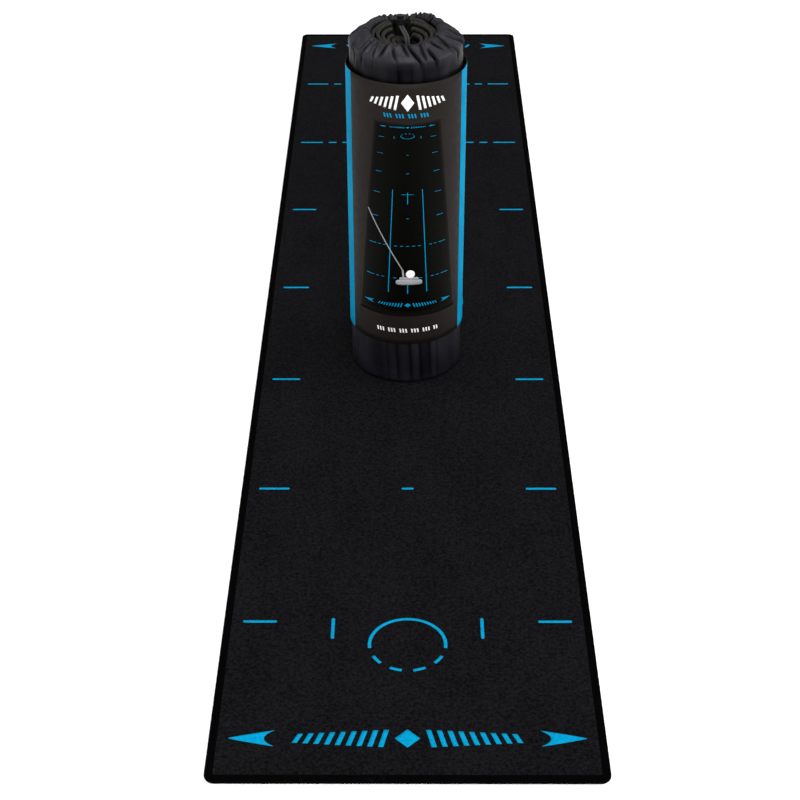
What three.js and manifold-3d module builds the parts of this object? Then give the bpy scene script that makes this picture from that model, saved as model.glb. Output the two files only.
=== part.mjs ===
// Practice putting mat, with a larger one of the same design rolled up in its drawstring bag and card sleeve.
// Millimetres, +Z up. The origin is the middle of the laid-out mat, on the floor under its backing.
// +Y runs from the target-circle end of the mat to the ball end, and +X is to its right.
import * as THREE from 'three';
import { mergeVertices } from 'three/addons/utils/BufferGeometryUtils.js';
import Module from 'manifold-3d';

const wasm = await Module();
wasm.setup();

// ---------- driving dimensions ----------
const MAT = { width: 500, length: 2400, cornerRadius: 14 };
const LAYER = { backing: 2.2, primary: 0.5, pile: 2.5, gap: 0.2 };
const BINDING = { width: 11, flange: 0.45, edge: 0.9, gap: 0.1 };
const ROLL = { coreRadius: 15, pitch: 7.2, segmentsPerTurn: 14, startAngle: Math.PI / 2 };
const BAG = {
  x: -2.5, y: -224, innerRadius: 81.2, wall: 0.8, base: 0.8, headroom: 1, domeHeight: 12, mouthRadius: 58.6,
};
const CHANNEL = { ringRadius: 54.2, outerRadius: 3.9, innerRadius: 2.5, halfGap: 10.5, rise: 1 };
const CORD = { radius: 1.5, spacing: 3.8, fillet: 5, bend: 10, exitAngle: THREE.MathUtils.degToRad(102) };
const LOCK = { radius: 8, height: 22, bore: 5.3, floor: 1.2, travel: 3.5, restRadius: 40, lift: 0.9 };
const PLUNGER = { below: 6, proud: 1.5, slotClear: 0.2 };
// Fully pressed, the spring is 2.2 mm long: three turns of wire and its ends, with room to spare.
const SPRING = { wire: 0.25, radius: 3.7, coils: 3, endClear: 0.1 };
const SLEEVE = { gap: 1.6, wall: 0.6, bottom: 70, height: 409 };
const TIP = { radius: 2, length: 12, taper: 1, socketDepth: 8, socketGap: 0.12 };
const TAIL_LENGTHS = [60, 78];
const CLEARANCE = 0.3;
// The bagged mat is the next size up, 550 x 2640 mm. Everything of it is written in the smaller mat's sizes.
const BAGGED_SIZE = 1.1;

// ---------- heights and radii worked out from them ----------
const backingTop = LAYER.backing;
const primaryBottom = backingTop + LAYER.gap;
const primaryTop = primaryBottom + LAYER.primary;
const pileBottom = primaryTop + LAYER.gap;
const pileTop = pileBottom + LAYER.pile;
const bindingTop = pileTop + BINDING.gap + BINDING.flange;
const flangeClear = BINDING.flange + BINDING.gap;
const edgeClear = BINDING.edge + CLEARANCE;

const bagBottom = pileTop + CLEARANCE;
const rollBottom = bagBottom + BAG.base + CLEARANCE;
const rollTop = rollBottom + MAT.width;
const shoulderHeight = rollTop + BAG.headroom;
const mouthHeight = shoulderHeight + BAG.domeHeight;
const cordHeight = mouthHeight + CHANNEL.rise;
const bagOuterRadius = BAG.innerRadius + BAG.wall;

// ---------- general helpers ----------
function solidFrom(geometry) {
  const bare = geometry.clone();
  bare.deleteAttribute('normal');
  bare.deleteAttribute('uv');
  const merged = mergeVertices(bare, 1e-4);
  return new wasm.Manifold(new wasm.Mesh({
    numProp: 3,
    vertProperties: new Float32Array(merged.attributes.position.array),
    triVerts: new Uint32Array(merged.index.array),
  }));
}

function geometryFrom(solid) {
  const mesh = solid.getMesh();
  const geometry = new THREE.BufferGeometry();
  geometry.setAttribute('position', new THREE.BufferAttribute(new Float32Array(mesh.vertProperties), 3));
  geometry.setIndex(new THREE.BufferAttribute(new Uint32Array(mesh.triVerts), 1));
  geometry.computeVertexNormals();
  return geometry;
}

function cut(body, ...tools) {
  return geometryFrom(tools.reduce((solid, tool) => solid.subtract(solidFrom(tool)), solidFrom(body)));
}

function join(first, ...others) {
  return geometryFrom(others.reduce((solid, other) => solid.add(solidFrom(other)), solidFrom(first)));
}

// A flat outline raised between two heights.
function prism(shape, bottom, top) {
  const options = { depth: top - bottom, bevelEnabled: false, curveSegments: 5 };
  return new THREE.ExtrudeGeometry(shape, options).translate(0, 0, bottom);
}

// An upright round post between two heights.
function post(radius, bottom, top, sides = 24) {
  const height = top - bottom;
  return new THREE.CylinderGeometry(radius, radius, height, sides).rotateX(Math.PI / 2)
    .translate(0, 0, bottom + height / 2);
}

// A curve through given points, one sweep step per point, so that a sweep follows them exactly.
class StepCurve extends THREE.Curve {
  constructor(points) {
    super();
    this.points = points;
  }

  indexAt(u) {
    return Math.round(u * (this.points.length - 1));
  }

  getPointAt(u) {
    return this.points[this.indexAt(u)].clone();
  }

  getTangentAt(u) {
    const index = this.indexAt(u);
    const before = this.points[Math.max(index - 1, 0)];
    const after = this.points[Math.min(index + 1, this.points.length - 1)];
    return after.clone().sub(before).normalize();
  }
}

function sweep(points, profile) {
  return new THREE.ExtrudeGeometry(profile, { steps: points.length - 1, extrudePath: new StepCurve(points) });
}

// A many-sided round profile, with a round hole in it when holeRadius is given.
function roundProfile(radius, sides, holeRadius = 0) {
  const ring = (r) => Array.from({ length: sides }, (_, i) => {
    const angle = (2 * Math.PI * i) / sides;
    return new THREE.Vector2(r * Math.cos(angle), r * Math.sin(angle));
  });
  const shape = new THREE.Shape(ring(radius));
  if (holeRadius > 0) shape.holes.push(new THREE.Path(ring(holeRadius)));
  return shape;
}

// Points of an arc about (x, y) at one height, including both ends.
function arcPoints(x, y, z, radius, fromAngle, toAngle, steps) {
  return Array.from({ length: steps + 1 }, (_, i) => {
    const angle = THREE.MathUtils.lerp(fromAngle, toAngle, i / steps);
    return new THREE.Vector3(x + radius * Math.cos(angle), y + radius * Math.sin(angle), z);
  });
}

function part(name, geometry, color, roughness, metalness = 0) {
  const mesh = new THREE.Mesh(geometry, new THREE.MeshStandardMaterial({ color, roughness, metalness }));
  mesh.name = name;
  return mesh;
}

// ---------- the mat laid out flat ----------
function matOutline(inset) {
  const x = MAT.width / 2 - inset;
  const y = MAT.length / 2 - inset;
  const r = Math.max(MAT.cornerRadius - inset, 2);
  const shape = new THREE.Shape();
  shape.moveTo(r - x, -y);
  shape.lineTo(x - r, -y);
  shape.absarc(x - r, r - y, r, -Math.PI / 2, 0, false);
  shape.lineTo(x, y - r);
  shape.absarc(x - r, y - r, r, 0, Math.PI / 2, false);
  shape.lineTo(r - x, y);
  shape.absarc(r - x, y - r, r, Math.PI / 2, Math.PI, false);
  shape.lineTo(-x, r - y);
  shape.absarc(r - x, r - y, r, Math.PI, 1.5 * Math.PI, false);
  return shape;
}

// The rubber lies on the floor, and is thinner round the edge where the binding wraps under it.
function matBacking() {
  return join(
    prism(matOutline(edgeClear), flangeClear, backingTop),
    prism(matOutline(BINDING.width + CLEARANCE), 0, backingTop),
  );
}

function matLayer(bottom, top) {
  return prism(matOutline(edgeClear), bottom, top);
}

// A C-section frame: the yarn wraps over the top, round the edge and under the bottom of the mat.
function matBinding() {
  return cut(
    prism(matOutline(0), 0, bindingTop),
    prism(matOutline(BINDING.edge), BINDING.flange, bindingTop - BINDING.flange),
    prism(matOutline(BINDING.width), -1, bindingTop + 1),
  );
}

// ---------- the same mat rolled up, standing on one long edge ----------
const bandHalf = bindingTop / 2;
const firstRadius = ROLL.coreRadius + bandHalf;
// Number of turns n from length = 2 pi r n + pi pitch n^2.
const turns = (Math.sqrt(firstRadius ** 2 + (ROLL.pitch * MAT.length) / Math.PI) - firstRadius) / ROLL.pitch;
const rollSteps = Math.round(turns * ROLL.segmentsPerTurn);
const stepAngle = (2 * Math.PI * turns) / rollSteps;

function spiralRadius(step) {
  return firstRadius + (ROLL.pitch * step * stepAngle) / (2 * Math.PI);
}

// A point on the spiral, counted in steps from the mat's inner end. Between two whole steps it lies on
// the straight line that joins them, so that every layer of the roll has the same corners.
function spiralPoint(step, offset) {
  const corner = (whole) => {
    const radius = spiralRadius(whole) + offset;
    const angle = ROLL.startAngle + whole * stepAngle;
    return new THREE.Vector2(radius * Math.cos(angle), radius * Math.sin(angle));
  };
  const before = Math.floor(step);
  return corner(before).lerp(corner(before + 1), step - before);
}

// Part of the spiral band seen from above, between two offsets from its middle line, and cut back
// by inset at both ends of the mat.
function spiralBand(innerOffset, outerOffset, inset) {
  const from = inset / (firstRadius * stepAngle);
  const to = rollSteps - inset / (spiralRadius(rollSteps) * stepAngle);
  const stops = [from];
  for (let step = Math.floor(from) + 1; step < to; step += 1) stops.push(step);
  stops.push(to);
  const edge = (offset) => stops.map((step) => spiralPoint(step, offset));
  return new THREE.Shape([...edge(outerOffset), ...edge(innerOffset).reverse()]);
}

// Offsets in the band follow the flat mat's heights, with the pile on the inside of the roll.
function rolledLayer(bottom, top, edgeInset) {
  return prism(spiralBand(bandHalf - top, bandHalf - bottom, edgeInset), edgeInset, MAT.width - edgeInset);
}

function rolledBacking() {
  return join(
    rolledLayer(flangeClear, backingTop, edgeClear),
    rolledLayer(0, backingTop, BINDING.width + CLEARANCE),
  );
}

function rolledBinding() {
  const past = 0.25;
  return cut(
    rolledLayer(0, bindingTop, 0),
    rolledLayer(BINDING.flange, bindingTop - BINDING.flange, BINDING.edge),
    rolledLayer(-past, bindingTop + past, BINDING.width),
  );
}

// ---------- the bag ----------
// A round wall with a domed, gathered top that leaves the middle of the roll open.
function bagSideWall() {
  const domePoints = (radius, height) => Array.from({ length: 7 }, (_, i) => {
    const angle = (Math.PI / 2) * (i / 6);
    return new THREE.Vector2(
      BAG.mouthRadius + (radius - BAG.mouthRadius) * Math.cos(angle),
      shoulderHeight - bagBottom + height * Math.sin(angle),
    );
  });
  const outside = domePoints(bagOuterRadius, BAG.domeHeight + BAG.wall);
  const inside = domePoints(BAG.innerRadius, BAG.domeHeight).reverse();
  const profile = [
    new THREE.Vector2(BAG.innerRadius, 0),
    new THREE.Vector2(bagOuterRadius, 0),
    ...outside,
    ...inside,
    new THREE.Vector2(BAG.innerRadius, 0),
  ];
  return new THREE.LatheGeometry(profile, 48).rotateX(Math.PI / 2);
}

function bagBasePanel() {
  return post(BAG.innerRadius - CLEARANCE, 0, BAG.base, 48);
}

// The sewn tunnel round the mouth, open at its two ends where the cord comes out.
function drawstringChannel() {
  const gap = Math.asin(CHANNEL.halfGap / CHANNEL.ringRadius);
  const from = Math.PI / 2 + gap;
  const points = arcPoints(0, 0, 0, CHANNEL.ringRadius, from, from + 2 * Math.PI - 2 * gap, 40);
  return sweep(points, roundProfile(CHANNEL.outerRadius, 10, CHANNEL.innerRadius));
}

// One cord, drawn with its exit towards +Y: up out of the roll's core, straight to the tunnel,
// once round the mouth, and back to the core.
function drawstringPoints(firstTail, secondTail) {
  const x = CORD.spacing / 2;
  const filletX = x + CORD.fillet;
  const filletY = Math.sqrt((CHANNEL.ringRadius - CORD.fillet) ** 2 - filletX ** 2);
  const joinAngle = Math.atan2(filletY, filletX);
  const tail = (side, length) => [
    new THREE.Vector3(side * x, -CORD.bend, -CORD.bend - length),
    ...Array.from({ length: 6 }, (_, i) => {
      const angle = (Math.PI / 2) * (i / 5);
      return new THREE.Vector3(side * x, -CORD.bend * Math.cos(angle), CORD.bend * (Math.sin(angle) - 1));
    }),
  ];
  const rightFillet = arcPoints(filletX, filletY, 0, CORD.fillet, Math.PI, joinAngle, 6);
  const leftFillet = arcPoints(-filletX, filletY, 0, CORD.fillet, Math.PI - joinAngle, 0, 6);
  const loop = arcPoints(0, 0, 0, CHANNEL.ringRadius, joinAngle, -Math.PI - joinAngle, 48).slice(1, -1);
  return [
    ...tail(1, firstTail),
    ...rightFillet,
    ...loop,
    ...leftFillet,
    ...tail(-1, secondTail).reverse(),
  ];
}

function drawstringCord() {
  return sweep(drawstringPoints(...TAIL_LENGTHS), roundProfile(CORD.radius, 8));
}

// A moulded tip with a socket in its top end for the cord.
function cordTip() {
  const socket = CORD.radius + TIP.socketGap;
  const socketFloor = TIP.length - TIP.socketDepth;
  const profile = [
    [0, 0],
    [TIP.radius - TIP.taper, 0],
    [TIP.radius, TIP.taper],
    [TIP.radius, TIP.length],
    [socket, TIP.length],
    [socket, socketFloor],
    [0, socketFloor],
  ];
  return new THREE.LatheGeometry(profile.map(([r, z]) => new THREE.Vector2(r, z)), 12).rotateX(Math.PI / 2);
}

// ---------- the cord lock, drawn with the cords along Y at height 0 ----------
const slotHalfWidth = CORD.spacing / 2 + CORD.radius + CLEARANCE;
const lockBottom = rollTop + LOCK.lift - cordHeight;
const plungerRadius = LOCK.bore - CLEARANCE;
const plungerBottom = -PLUNGER.below;
const plungerTop = lockBottom + LOCK.height + LOCK.travel + PLUNGER.proud;

function cordSlot(bottom, top) {
  return new THREE.BoxGeometry(2 * slotHalfWidth, 4 * LOCK.radius, top - bottom)
    .translate(0, 0, (bottom + top) / 2);
}

function lockBarrel() {
  const top = lockBottom + LOCK.height;
  return cut(
    post(LOCK.radius, lockBottom, top),
    post(LOCK.bore, lockBottom + LOCK.floor, top + 1),
    cordSlot(-CORD.radius - CLEARANCE, CORD.radius + CLEARANCE),
  );
}

// The plunger's slot is taller than the cords by its travel, so pressing it frees them.
function lockPlunger() {
  const reach = CORD.radius + PLUNGER.slotClear;
  return cut(
    post(plungerRadius, plungerBottom, plungerTop),
    cordSlot(-reach, reach + LOCK.travel),
  );
}

function lockSpring() {
  const { wire, radius, coils, endClear } = SPRING;
  const stepsPerCoil = 12;
  const bottom = lockBottom + LOCK.floor + wire + endClear;
  const top = plungerBottom - wire - endClear;
  const steps = coils * stepsPerCoil;
  const points = Array.from({ length: steps + 1 }, (_, i) => {
    const angle = (2 * Math.PI * i) / stepsPerCoil;
    const height = THREE.MathUtils.lerp(bottom, top, i / steps);
    return new THREE.Vector3(radius * Math.cos(angle), radius * Math.sin(angle), height);
  });
  return sweep(points, roundProfile(wire, 6));
}

// ---------- the card sleeve ----------
function printedSleeve() {
  const inner = bagOuterRadius + SLEEVE.gap;
  const outer = inner + SLEEVE.wall;
  const corners = [[inner, 0], [outer, 0], [outer, SLEEVE.height], [inner, SLEEVE.height], [inner, 0]];
  return new THREE.LatheGeometry(corners.map(([r, z]) => new THREE.Vector2(r, z)), 56).rotateX(Math.PI / 2);
}

// ---------- assembly ----------
const mat = new THREE.Group();
mat.add(
  part('mat_backing', matBacking(), '#161616', 0.85),
  part('mat_primary_backing', matLayer(primaryBottom, primaryTop), '#4a4a48', 0.95),
  part('mat_pile', matLayer(pileBottom, pileTop), '#19191c', 0.97),
  part('mat_edge_binding', matBinding(), '#060606', 0.8),
);

const roll = new THREE.Group();
roll.position.z = rollBottom - bagBottom;
roll.add(
  part('rolled_backing', rolledBacking(), '#161616', 0.85),
  part('rolled_primary_backing', rolledLayer(primaryBottom, primaryTop, edgeClear), '#4a4a48', 0.95),
  part('rolled_pile', rolledLayer(pileBottom, pileTop, edgeClear), '#19191c', 0.97),
  part('rolled_edge_binding', rolledBinding(), '#0b0a09', 0.8),
);

const cordLock = new THREE.Group();
cordLock.position.y = LOCK.restRadius;
cordLock.add(
  part('cord_lock_barrel', lockBarrel(), '#0d0d0f', 0.45),
  part('cord_lock_plunger', lockPlunger(), '#121214', 0.45),
  part('cord_lock_spring', lockSpring(), '#b9bcc0', 0.3, 1),
);

const tips = TAIL_LENGTHS.map((length, i) => {
  const tip = part(`cord_tip_${i + 1}`, cordTip(), '#0c0c0c', 0.5);
  const side = i === 0 ? 1 : -1;
  const cordEnd = -CORD.bend - length;
  tip.position.set(side * (CORD.spacing / 2), -CORD.bend, cordEnd - TIP.length + TIP.socketDepth - CLEARANCE);
  return tip;
});

const drawstring = new THREE.Group();
drawstring.position.z = cordHeight - bagBottom;
drawstring.rotation.z = CORD.exitAngle - Math.PI / 2;
drawstring.add(
  part('bag_drawstring_channel', drawstringChannel(), '#17171c', 0.6),
  part('drawstring_cord', drawstringCord(), '#101012', 0.7),
  ...tips,
  cordLock,
);

const sleeve = part('printed_sleeve', printedSleeve(), '#2e2a27', 0.55);
sleeve.position.z = SLEEVE.bottom;

const baggedRoll = new THREE.Group();
baggedRoll.position.set(BAG.x, BAG.y, bagBottom);
baggedRoll.scale.setScalar(BAGGED_SIZE);
baggedRoll.add(
  part('bag_base_panel', bagBasePanel(), '#17171c', 0.6),
  part('bag_side_wall', bagSideWall(), '#17171c', 0.6),
  roll,
  drawstring,
  sleeve,
);

const puttingMat = new THREE.Group();
puttingMat.add(mat, baggedRoll);

export default puttingMat;
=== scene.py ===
"""Looks of the practice putting mat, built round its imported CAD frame.

Metres, +Z up, +Y along the mat. The mat lies flat, and a larger one of the same design stands on it,
rolled up in its bag.
"""

import math

import bpy
import numpy as np
from mathutils import Matrix, Vector


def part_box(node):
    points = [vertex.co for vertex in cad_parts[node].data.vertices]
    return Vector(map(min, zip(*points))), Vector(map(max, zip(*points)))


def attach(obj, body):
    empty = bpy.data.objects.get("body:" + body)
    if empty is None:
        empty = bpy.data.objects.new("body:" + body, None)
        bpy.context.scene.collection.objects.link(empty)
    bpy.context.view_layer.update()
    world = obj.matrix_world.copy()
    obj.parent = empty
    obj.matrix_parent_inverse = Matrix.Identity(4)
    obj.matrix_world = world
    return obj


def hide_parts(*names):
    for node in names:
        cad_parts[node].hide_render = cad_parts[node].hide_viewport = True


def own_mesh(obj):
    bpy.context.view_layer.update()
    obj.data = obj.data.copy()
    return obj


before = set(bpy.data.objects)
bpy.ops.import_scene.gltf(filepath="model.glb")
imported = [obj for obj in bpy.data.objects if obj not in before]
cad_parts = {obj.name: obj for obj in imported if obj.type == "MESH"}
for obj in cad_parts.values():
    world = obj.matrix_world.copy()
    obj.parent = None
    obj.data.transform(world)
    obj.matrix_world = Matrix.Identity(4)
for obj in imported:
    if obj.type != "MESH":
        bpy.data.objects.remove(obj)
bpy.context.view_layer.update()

MM = 0.001
FULL_TURN = 2 * math.pi

# ---------- sizes, read from the frame or shared by several pieces ----------

MAT_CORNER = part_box("mat_edge_binding")[1]
HALF_WIDTH = MAT_CORNER.x
HALF_LENGTH = MAT_CORNER.y
BINDING_TOP = MAT_CORNER.z
PILE_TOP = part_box("mat_pile")[1].z
LAYER_EDGE = HALF_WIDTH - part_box("mat_pile")[1].x
CORNER_RADIUS = 14 * MM
BINDING_WIDTH = 11 * MM
BINDING_FLANGE = 0.45 * MM
BINDING_EDGE = 0.9 * MM
STITCH_PITCH = 3.0 * MM

# The mat in the bag is the next size up of the same design. The bag and all in it are modelled in the
# laid-out mat's sizes, from the middle of the bag's foot, and stand() puts them in the frame.
ROLL_LOW, ROLL_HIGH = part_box("rolled_edge_binding")
BAGGED_SIZE = (ROLL_HIGH.z - ROLL_LOW.z) / (2 * HALF_WIDTH)
BAG_LOW, BAG_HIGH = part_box("bag_side_wall")
BAG_FOOT = np.array([(BAG_LOW.x + BAG_HIGH.x) / 2, (BAG_LOW.y + BAG_HIGH.y) / 2, BAG_LOW.z])
BAG_RADIUS = (BAG_HIGH.x - BAG_LOW.x) / 2 / BAGGED_SIZE
BAG_HEIGHT = (BAG_HIGH.z - BAG_LOW.z) / BAGGED_SIZE
CLOTH = 0.8 * MM

ROLL_FOOT = (ROLL_LOW.z - BAG_LOW.z) / BAGGED_SIZE
ROLL_PITCH = 7.2 * MM
ROLL_SQUEEZE = 0.92
ROLL_START_RADIUS = 15 * MM + BINDING_TOP / 2
ROLL_START_ANGLE = math.pi / 2
ROLL_OVAL = 1.6 * MM

RING_LOW, RING_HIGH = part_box("bag_drawstring_channel")
RING_RADIUS = 54.2 * MM
RING_HEIGHT = ((RING_LOW.z + RING_HIGH.z) / 2 - BAG_LOW.z) / BAGGED_SIZE
RING_HALF_GAP = math.asin(10.5 * MM / RING_RADIUS)
EXIT_DEGREES = 102
EXIT_ANGLE = math.radians(EXIT_DEGREES)

SPRING_WIRE = 0.25 * MM
SPRING_COILS = 3

CORD_RADIUS = 1.5 * MM
CORD_HALF_SPACING = 1.9 * MM
CORD_FILLET = 5 * MM
CORD_BEND = 10 * MM
CORD_TAILS = (60 * MM, 78 * MM)

SLEEVE_LOW, SLEEVE_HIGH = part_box("printed_sleeve")
SLEEVE_RADIUS = (SLEEVE_HIGH.x - SLEEVE_LOW.x) / 2 / BAGGED_SIZE
SLEEVE_WALL = 0.6 * MM
SLEEVE_FOOT = (SLEEVE_LOW.z - BAG_LOW.z) / BAGGED_SIZE
SLEEVE_HEIGHT = (SLEEVE_HIGH.z - SLEEVE_LOW.z) / BAGGED_SIZE

LINE_WIDTH = 4.6 * MM
ROW_SPACING = 302 * MM
DYE_LIFT = 0.12 * MM
INK_LIFT = 0.1 * MM


# ---------- smooth random shapes ----------


def smooth_noise(u, v, seed, around=64):
    """Smooth random values from -1 to 1 that change over about one unit; u repeats after `around` units."""
    table = np.random.default_rng(seed).uniform(-1, 1, (around, 64))
    u_cell, v_cell = np.floor(u).astype(int), np.floor(v).astype(int)
    u_share, v_share = u - u_cell, v - v_cell
    u_share = u_share * u_share * (3 - 2 * u_share)
    v_share = v_share * v_share * (3 - 2 * v_share)
    u_cell, v_cell = u_cell % around, v_cell % 64
    u_next, v_next = (u_cell + 1) % around, (v_cell + 1) % 64
    here = table[u_cell, v_cell] * (1 - u_share) + table[u_next, v_cell] * u_share
    beyond = table[u_cell, v_next] * (1 - u_share) + table[u_next, v_next] * u_share
    return here * (1 - v_share) + beyond * v_share


def round_noise(angle, count, seed, v=0.0):
    """Smooth random values from -1 to 1, `count` of them round a full turn."""
    return smooth_noise(angle * count / FULL_TURN, v + 0 * angle, seed, around=count)


def smooth_step(value, low, high):
    """0 below low, 1 above high, and a smooth change in between."""
    share = np.clip((value - low) / (high - low), 0, 1)
    return share * share * (3 - 2 * share)


def turn_from(angle, centre):
    """How far an angle is from another one, the shorter way round: -pi to pi."""
    return (angle - centre + math.pi) % FULL_TURN - math.pi


def near(angle, centre, full, none):
    """1 within `full` degrees of a direction in degrees, fading to 0 at `none` degrees from it."""
    away = np.degrees(np.abs(turn_from(angle, math.radians(centre))))
    return 1 - smooth_step(away, full, none)


# ---------- meshes ----------


def grid_faces(rows, columns, wrap=False):
    """Quads of a rows by columns grid of points; wrap joins the last column to the first."""
    last = columns if wrap else columns - 1
    row, column = np.meshgrid(np.arange(rows - 1), np.arange(last), indexing="ij")
    row, column = row.ravel(), column.ravel()
    following = (column + 1) % columns
    start, end = row * columns, (row + 1) * columns
    return np.stack([start + column, start + following, end + following, end + column], axis=1)


def wall_faces(first, second):
    """Quads that join two strings of point numbers."""
    return np.stack([first[:-1], first[1:], second[1:], second[:-1]], axis=1)


def slab(top, bottom):
    """Closed solid between two open grids of points, each rows x columns x 3."""
    rows, columns = top.shape[:2]
    count = rows * columns
    faces = grid_faces(rows, columns)
    number = np.arange(count).reshape(rows, columns)
    border = np.concatenate([number[0, :-1], number[:-1, -1], number[-1, :0:-1], number[::-1, 0]])
    return (
        np.concatenate([top.reshape(-1, 3), bottom.reshape(-1, 3)]),
        np.concatenate([faces, faces[:, ::-1] + count, wall_faces(border + count, border)]),
    )


def shell(outside, inside):
    """Closed solid between two tubes of points, each rows x columns x 3, open at the first and last row."""
    rows, columns = outside.shape[:2]
    count = rows * columns
    faces = grid_faces(rows, columns, wrap=True)
    number = np.arange(count).reshape(rows, columns)
    first = np.append(number[0], number[0, 0])
    last = np.append(number[-1], number[-1, 0])
    rims = [wall_faces(first + count, first), wall_faces(last, last + count)]
    return (
        np.concatenate([outside.reshape(-1, 3), inside.reshape(-1, 3)]),
        np.concatenate([faces, faces[:, ::-1] + count, *rims]),
    )


def ring(rows_of_sections):
    """Closed solid from sections x points x 3: each section is closed, and the last one joins the first."""
    sections = np.concatenate([rows_of_sections, rows_of_sections[:1]])
    rows, columns = sections.shape[:2]
    faces = grid_faces(rows, columns, wrap=True) % ((rows - 1) * columns)
    return rows_of_sections.reshape(-1, 3), faces


def rod(sections):
    """Closed solid from sections x points x 3, each section round, with a point in the middle of each end."""
    rows, columns = sections.shape[:2]
    middles = np.stack([sections[0].mean(0), sections[-1].mean(0)])
    number = np.arange(columns)
    following = (number + 1) % columns
    last = (rows - 1) * columns
    start, end = rows * columns, rows * columns + 1
    near_cap = np.stack([np.full(columns, start), following, number], axis=1)
    far_cap = np.stack([np.full(columns, end), last + number, last + following], axis=1)
    faces = grid_faces(rows, columns, wrap=True).tolist() + near_cap.tolist() + far_cap.tolist()
    return np.concatenate([sections.reshape(-1, 3), middles]), faces


def join_solids(solids):
    """One list of points and one of faces from several solids."""
    points, faces, count = [], [], 0
    for solid_points, solid_faces in solids:
        points.append(solid_points)
        faces += [[index + count for index in face] for face in np.asarray(solid_faces).tolist()]
        count += len(solid_points)
    return np.concatenate(points), faces


def outward(points, faces):
    """The faces, all turned over if the solid they close is inside out."""
    sample = np.asarray([face[:4] for face in faces if len(face) > 3] or faces)
    a, b, c = points[sample[:, 0]], points[sample[:, 1]], points[sample[:, 2]]
    volume = np.einsum("ij,ij->i", a, np.cross(b, c)).sum()
    if sample.shape[1] == 4:
        d = points[sample[:, 3]]
        volume += np.einsum("ij,ij->i", a, np.cross(c, d)).sum()
    return [face[::-1] for face in faces] if volume < 0 else faces


def piece(name, solid, material, body, replaced=(), surface=None, tone=None):
    """Makes a mesh object, gives it its material, and lets it ride on its body.

    surface holds each point's place in the piece's own unrolled cloth or sheet, for the material's pattern.
    tone holds painted light: how much light reaches each point, from 0 in a deep crease to 1, for materials
    that read it.
    """
    points, faces = solid
    middle = points.mean(0)
    faces = outward(points - middle, np.asarray(faces).tolist() if isinstance(faces, np.ndarray) else faces)
    mesh = bpy.data.meshes.new(name)
    mesh.from_pydata(points.tolist(), [], faces)
    mesh.shade_smooth()
    if surface is not None:
        attribute = mesh.attributes.new("surface", "FLOAT_VECTOR", "POINT")
        attribute.data.foreach_set("vector", surface.astype(np.float32).ravel())
    if tone is not None:
        attribute = mesh.attributes.new("tone", "FLOAT", "POINT")
        attribute.data.foreach_set("value", tone.astype(np.float32).ravel())
    mesh.materials.append(material)
    made = bpy.data.objects.new(name, mesh)
    bpy.context.scene.collection.objects.link(made)
    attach(made, body)
    if replaced:
        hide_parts(*replaced)
    return made


# ---------- materials ----------


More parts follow.
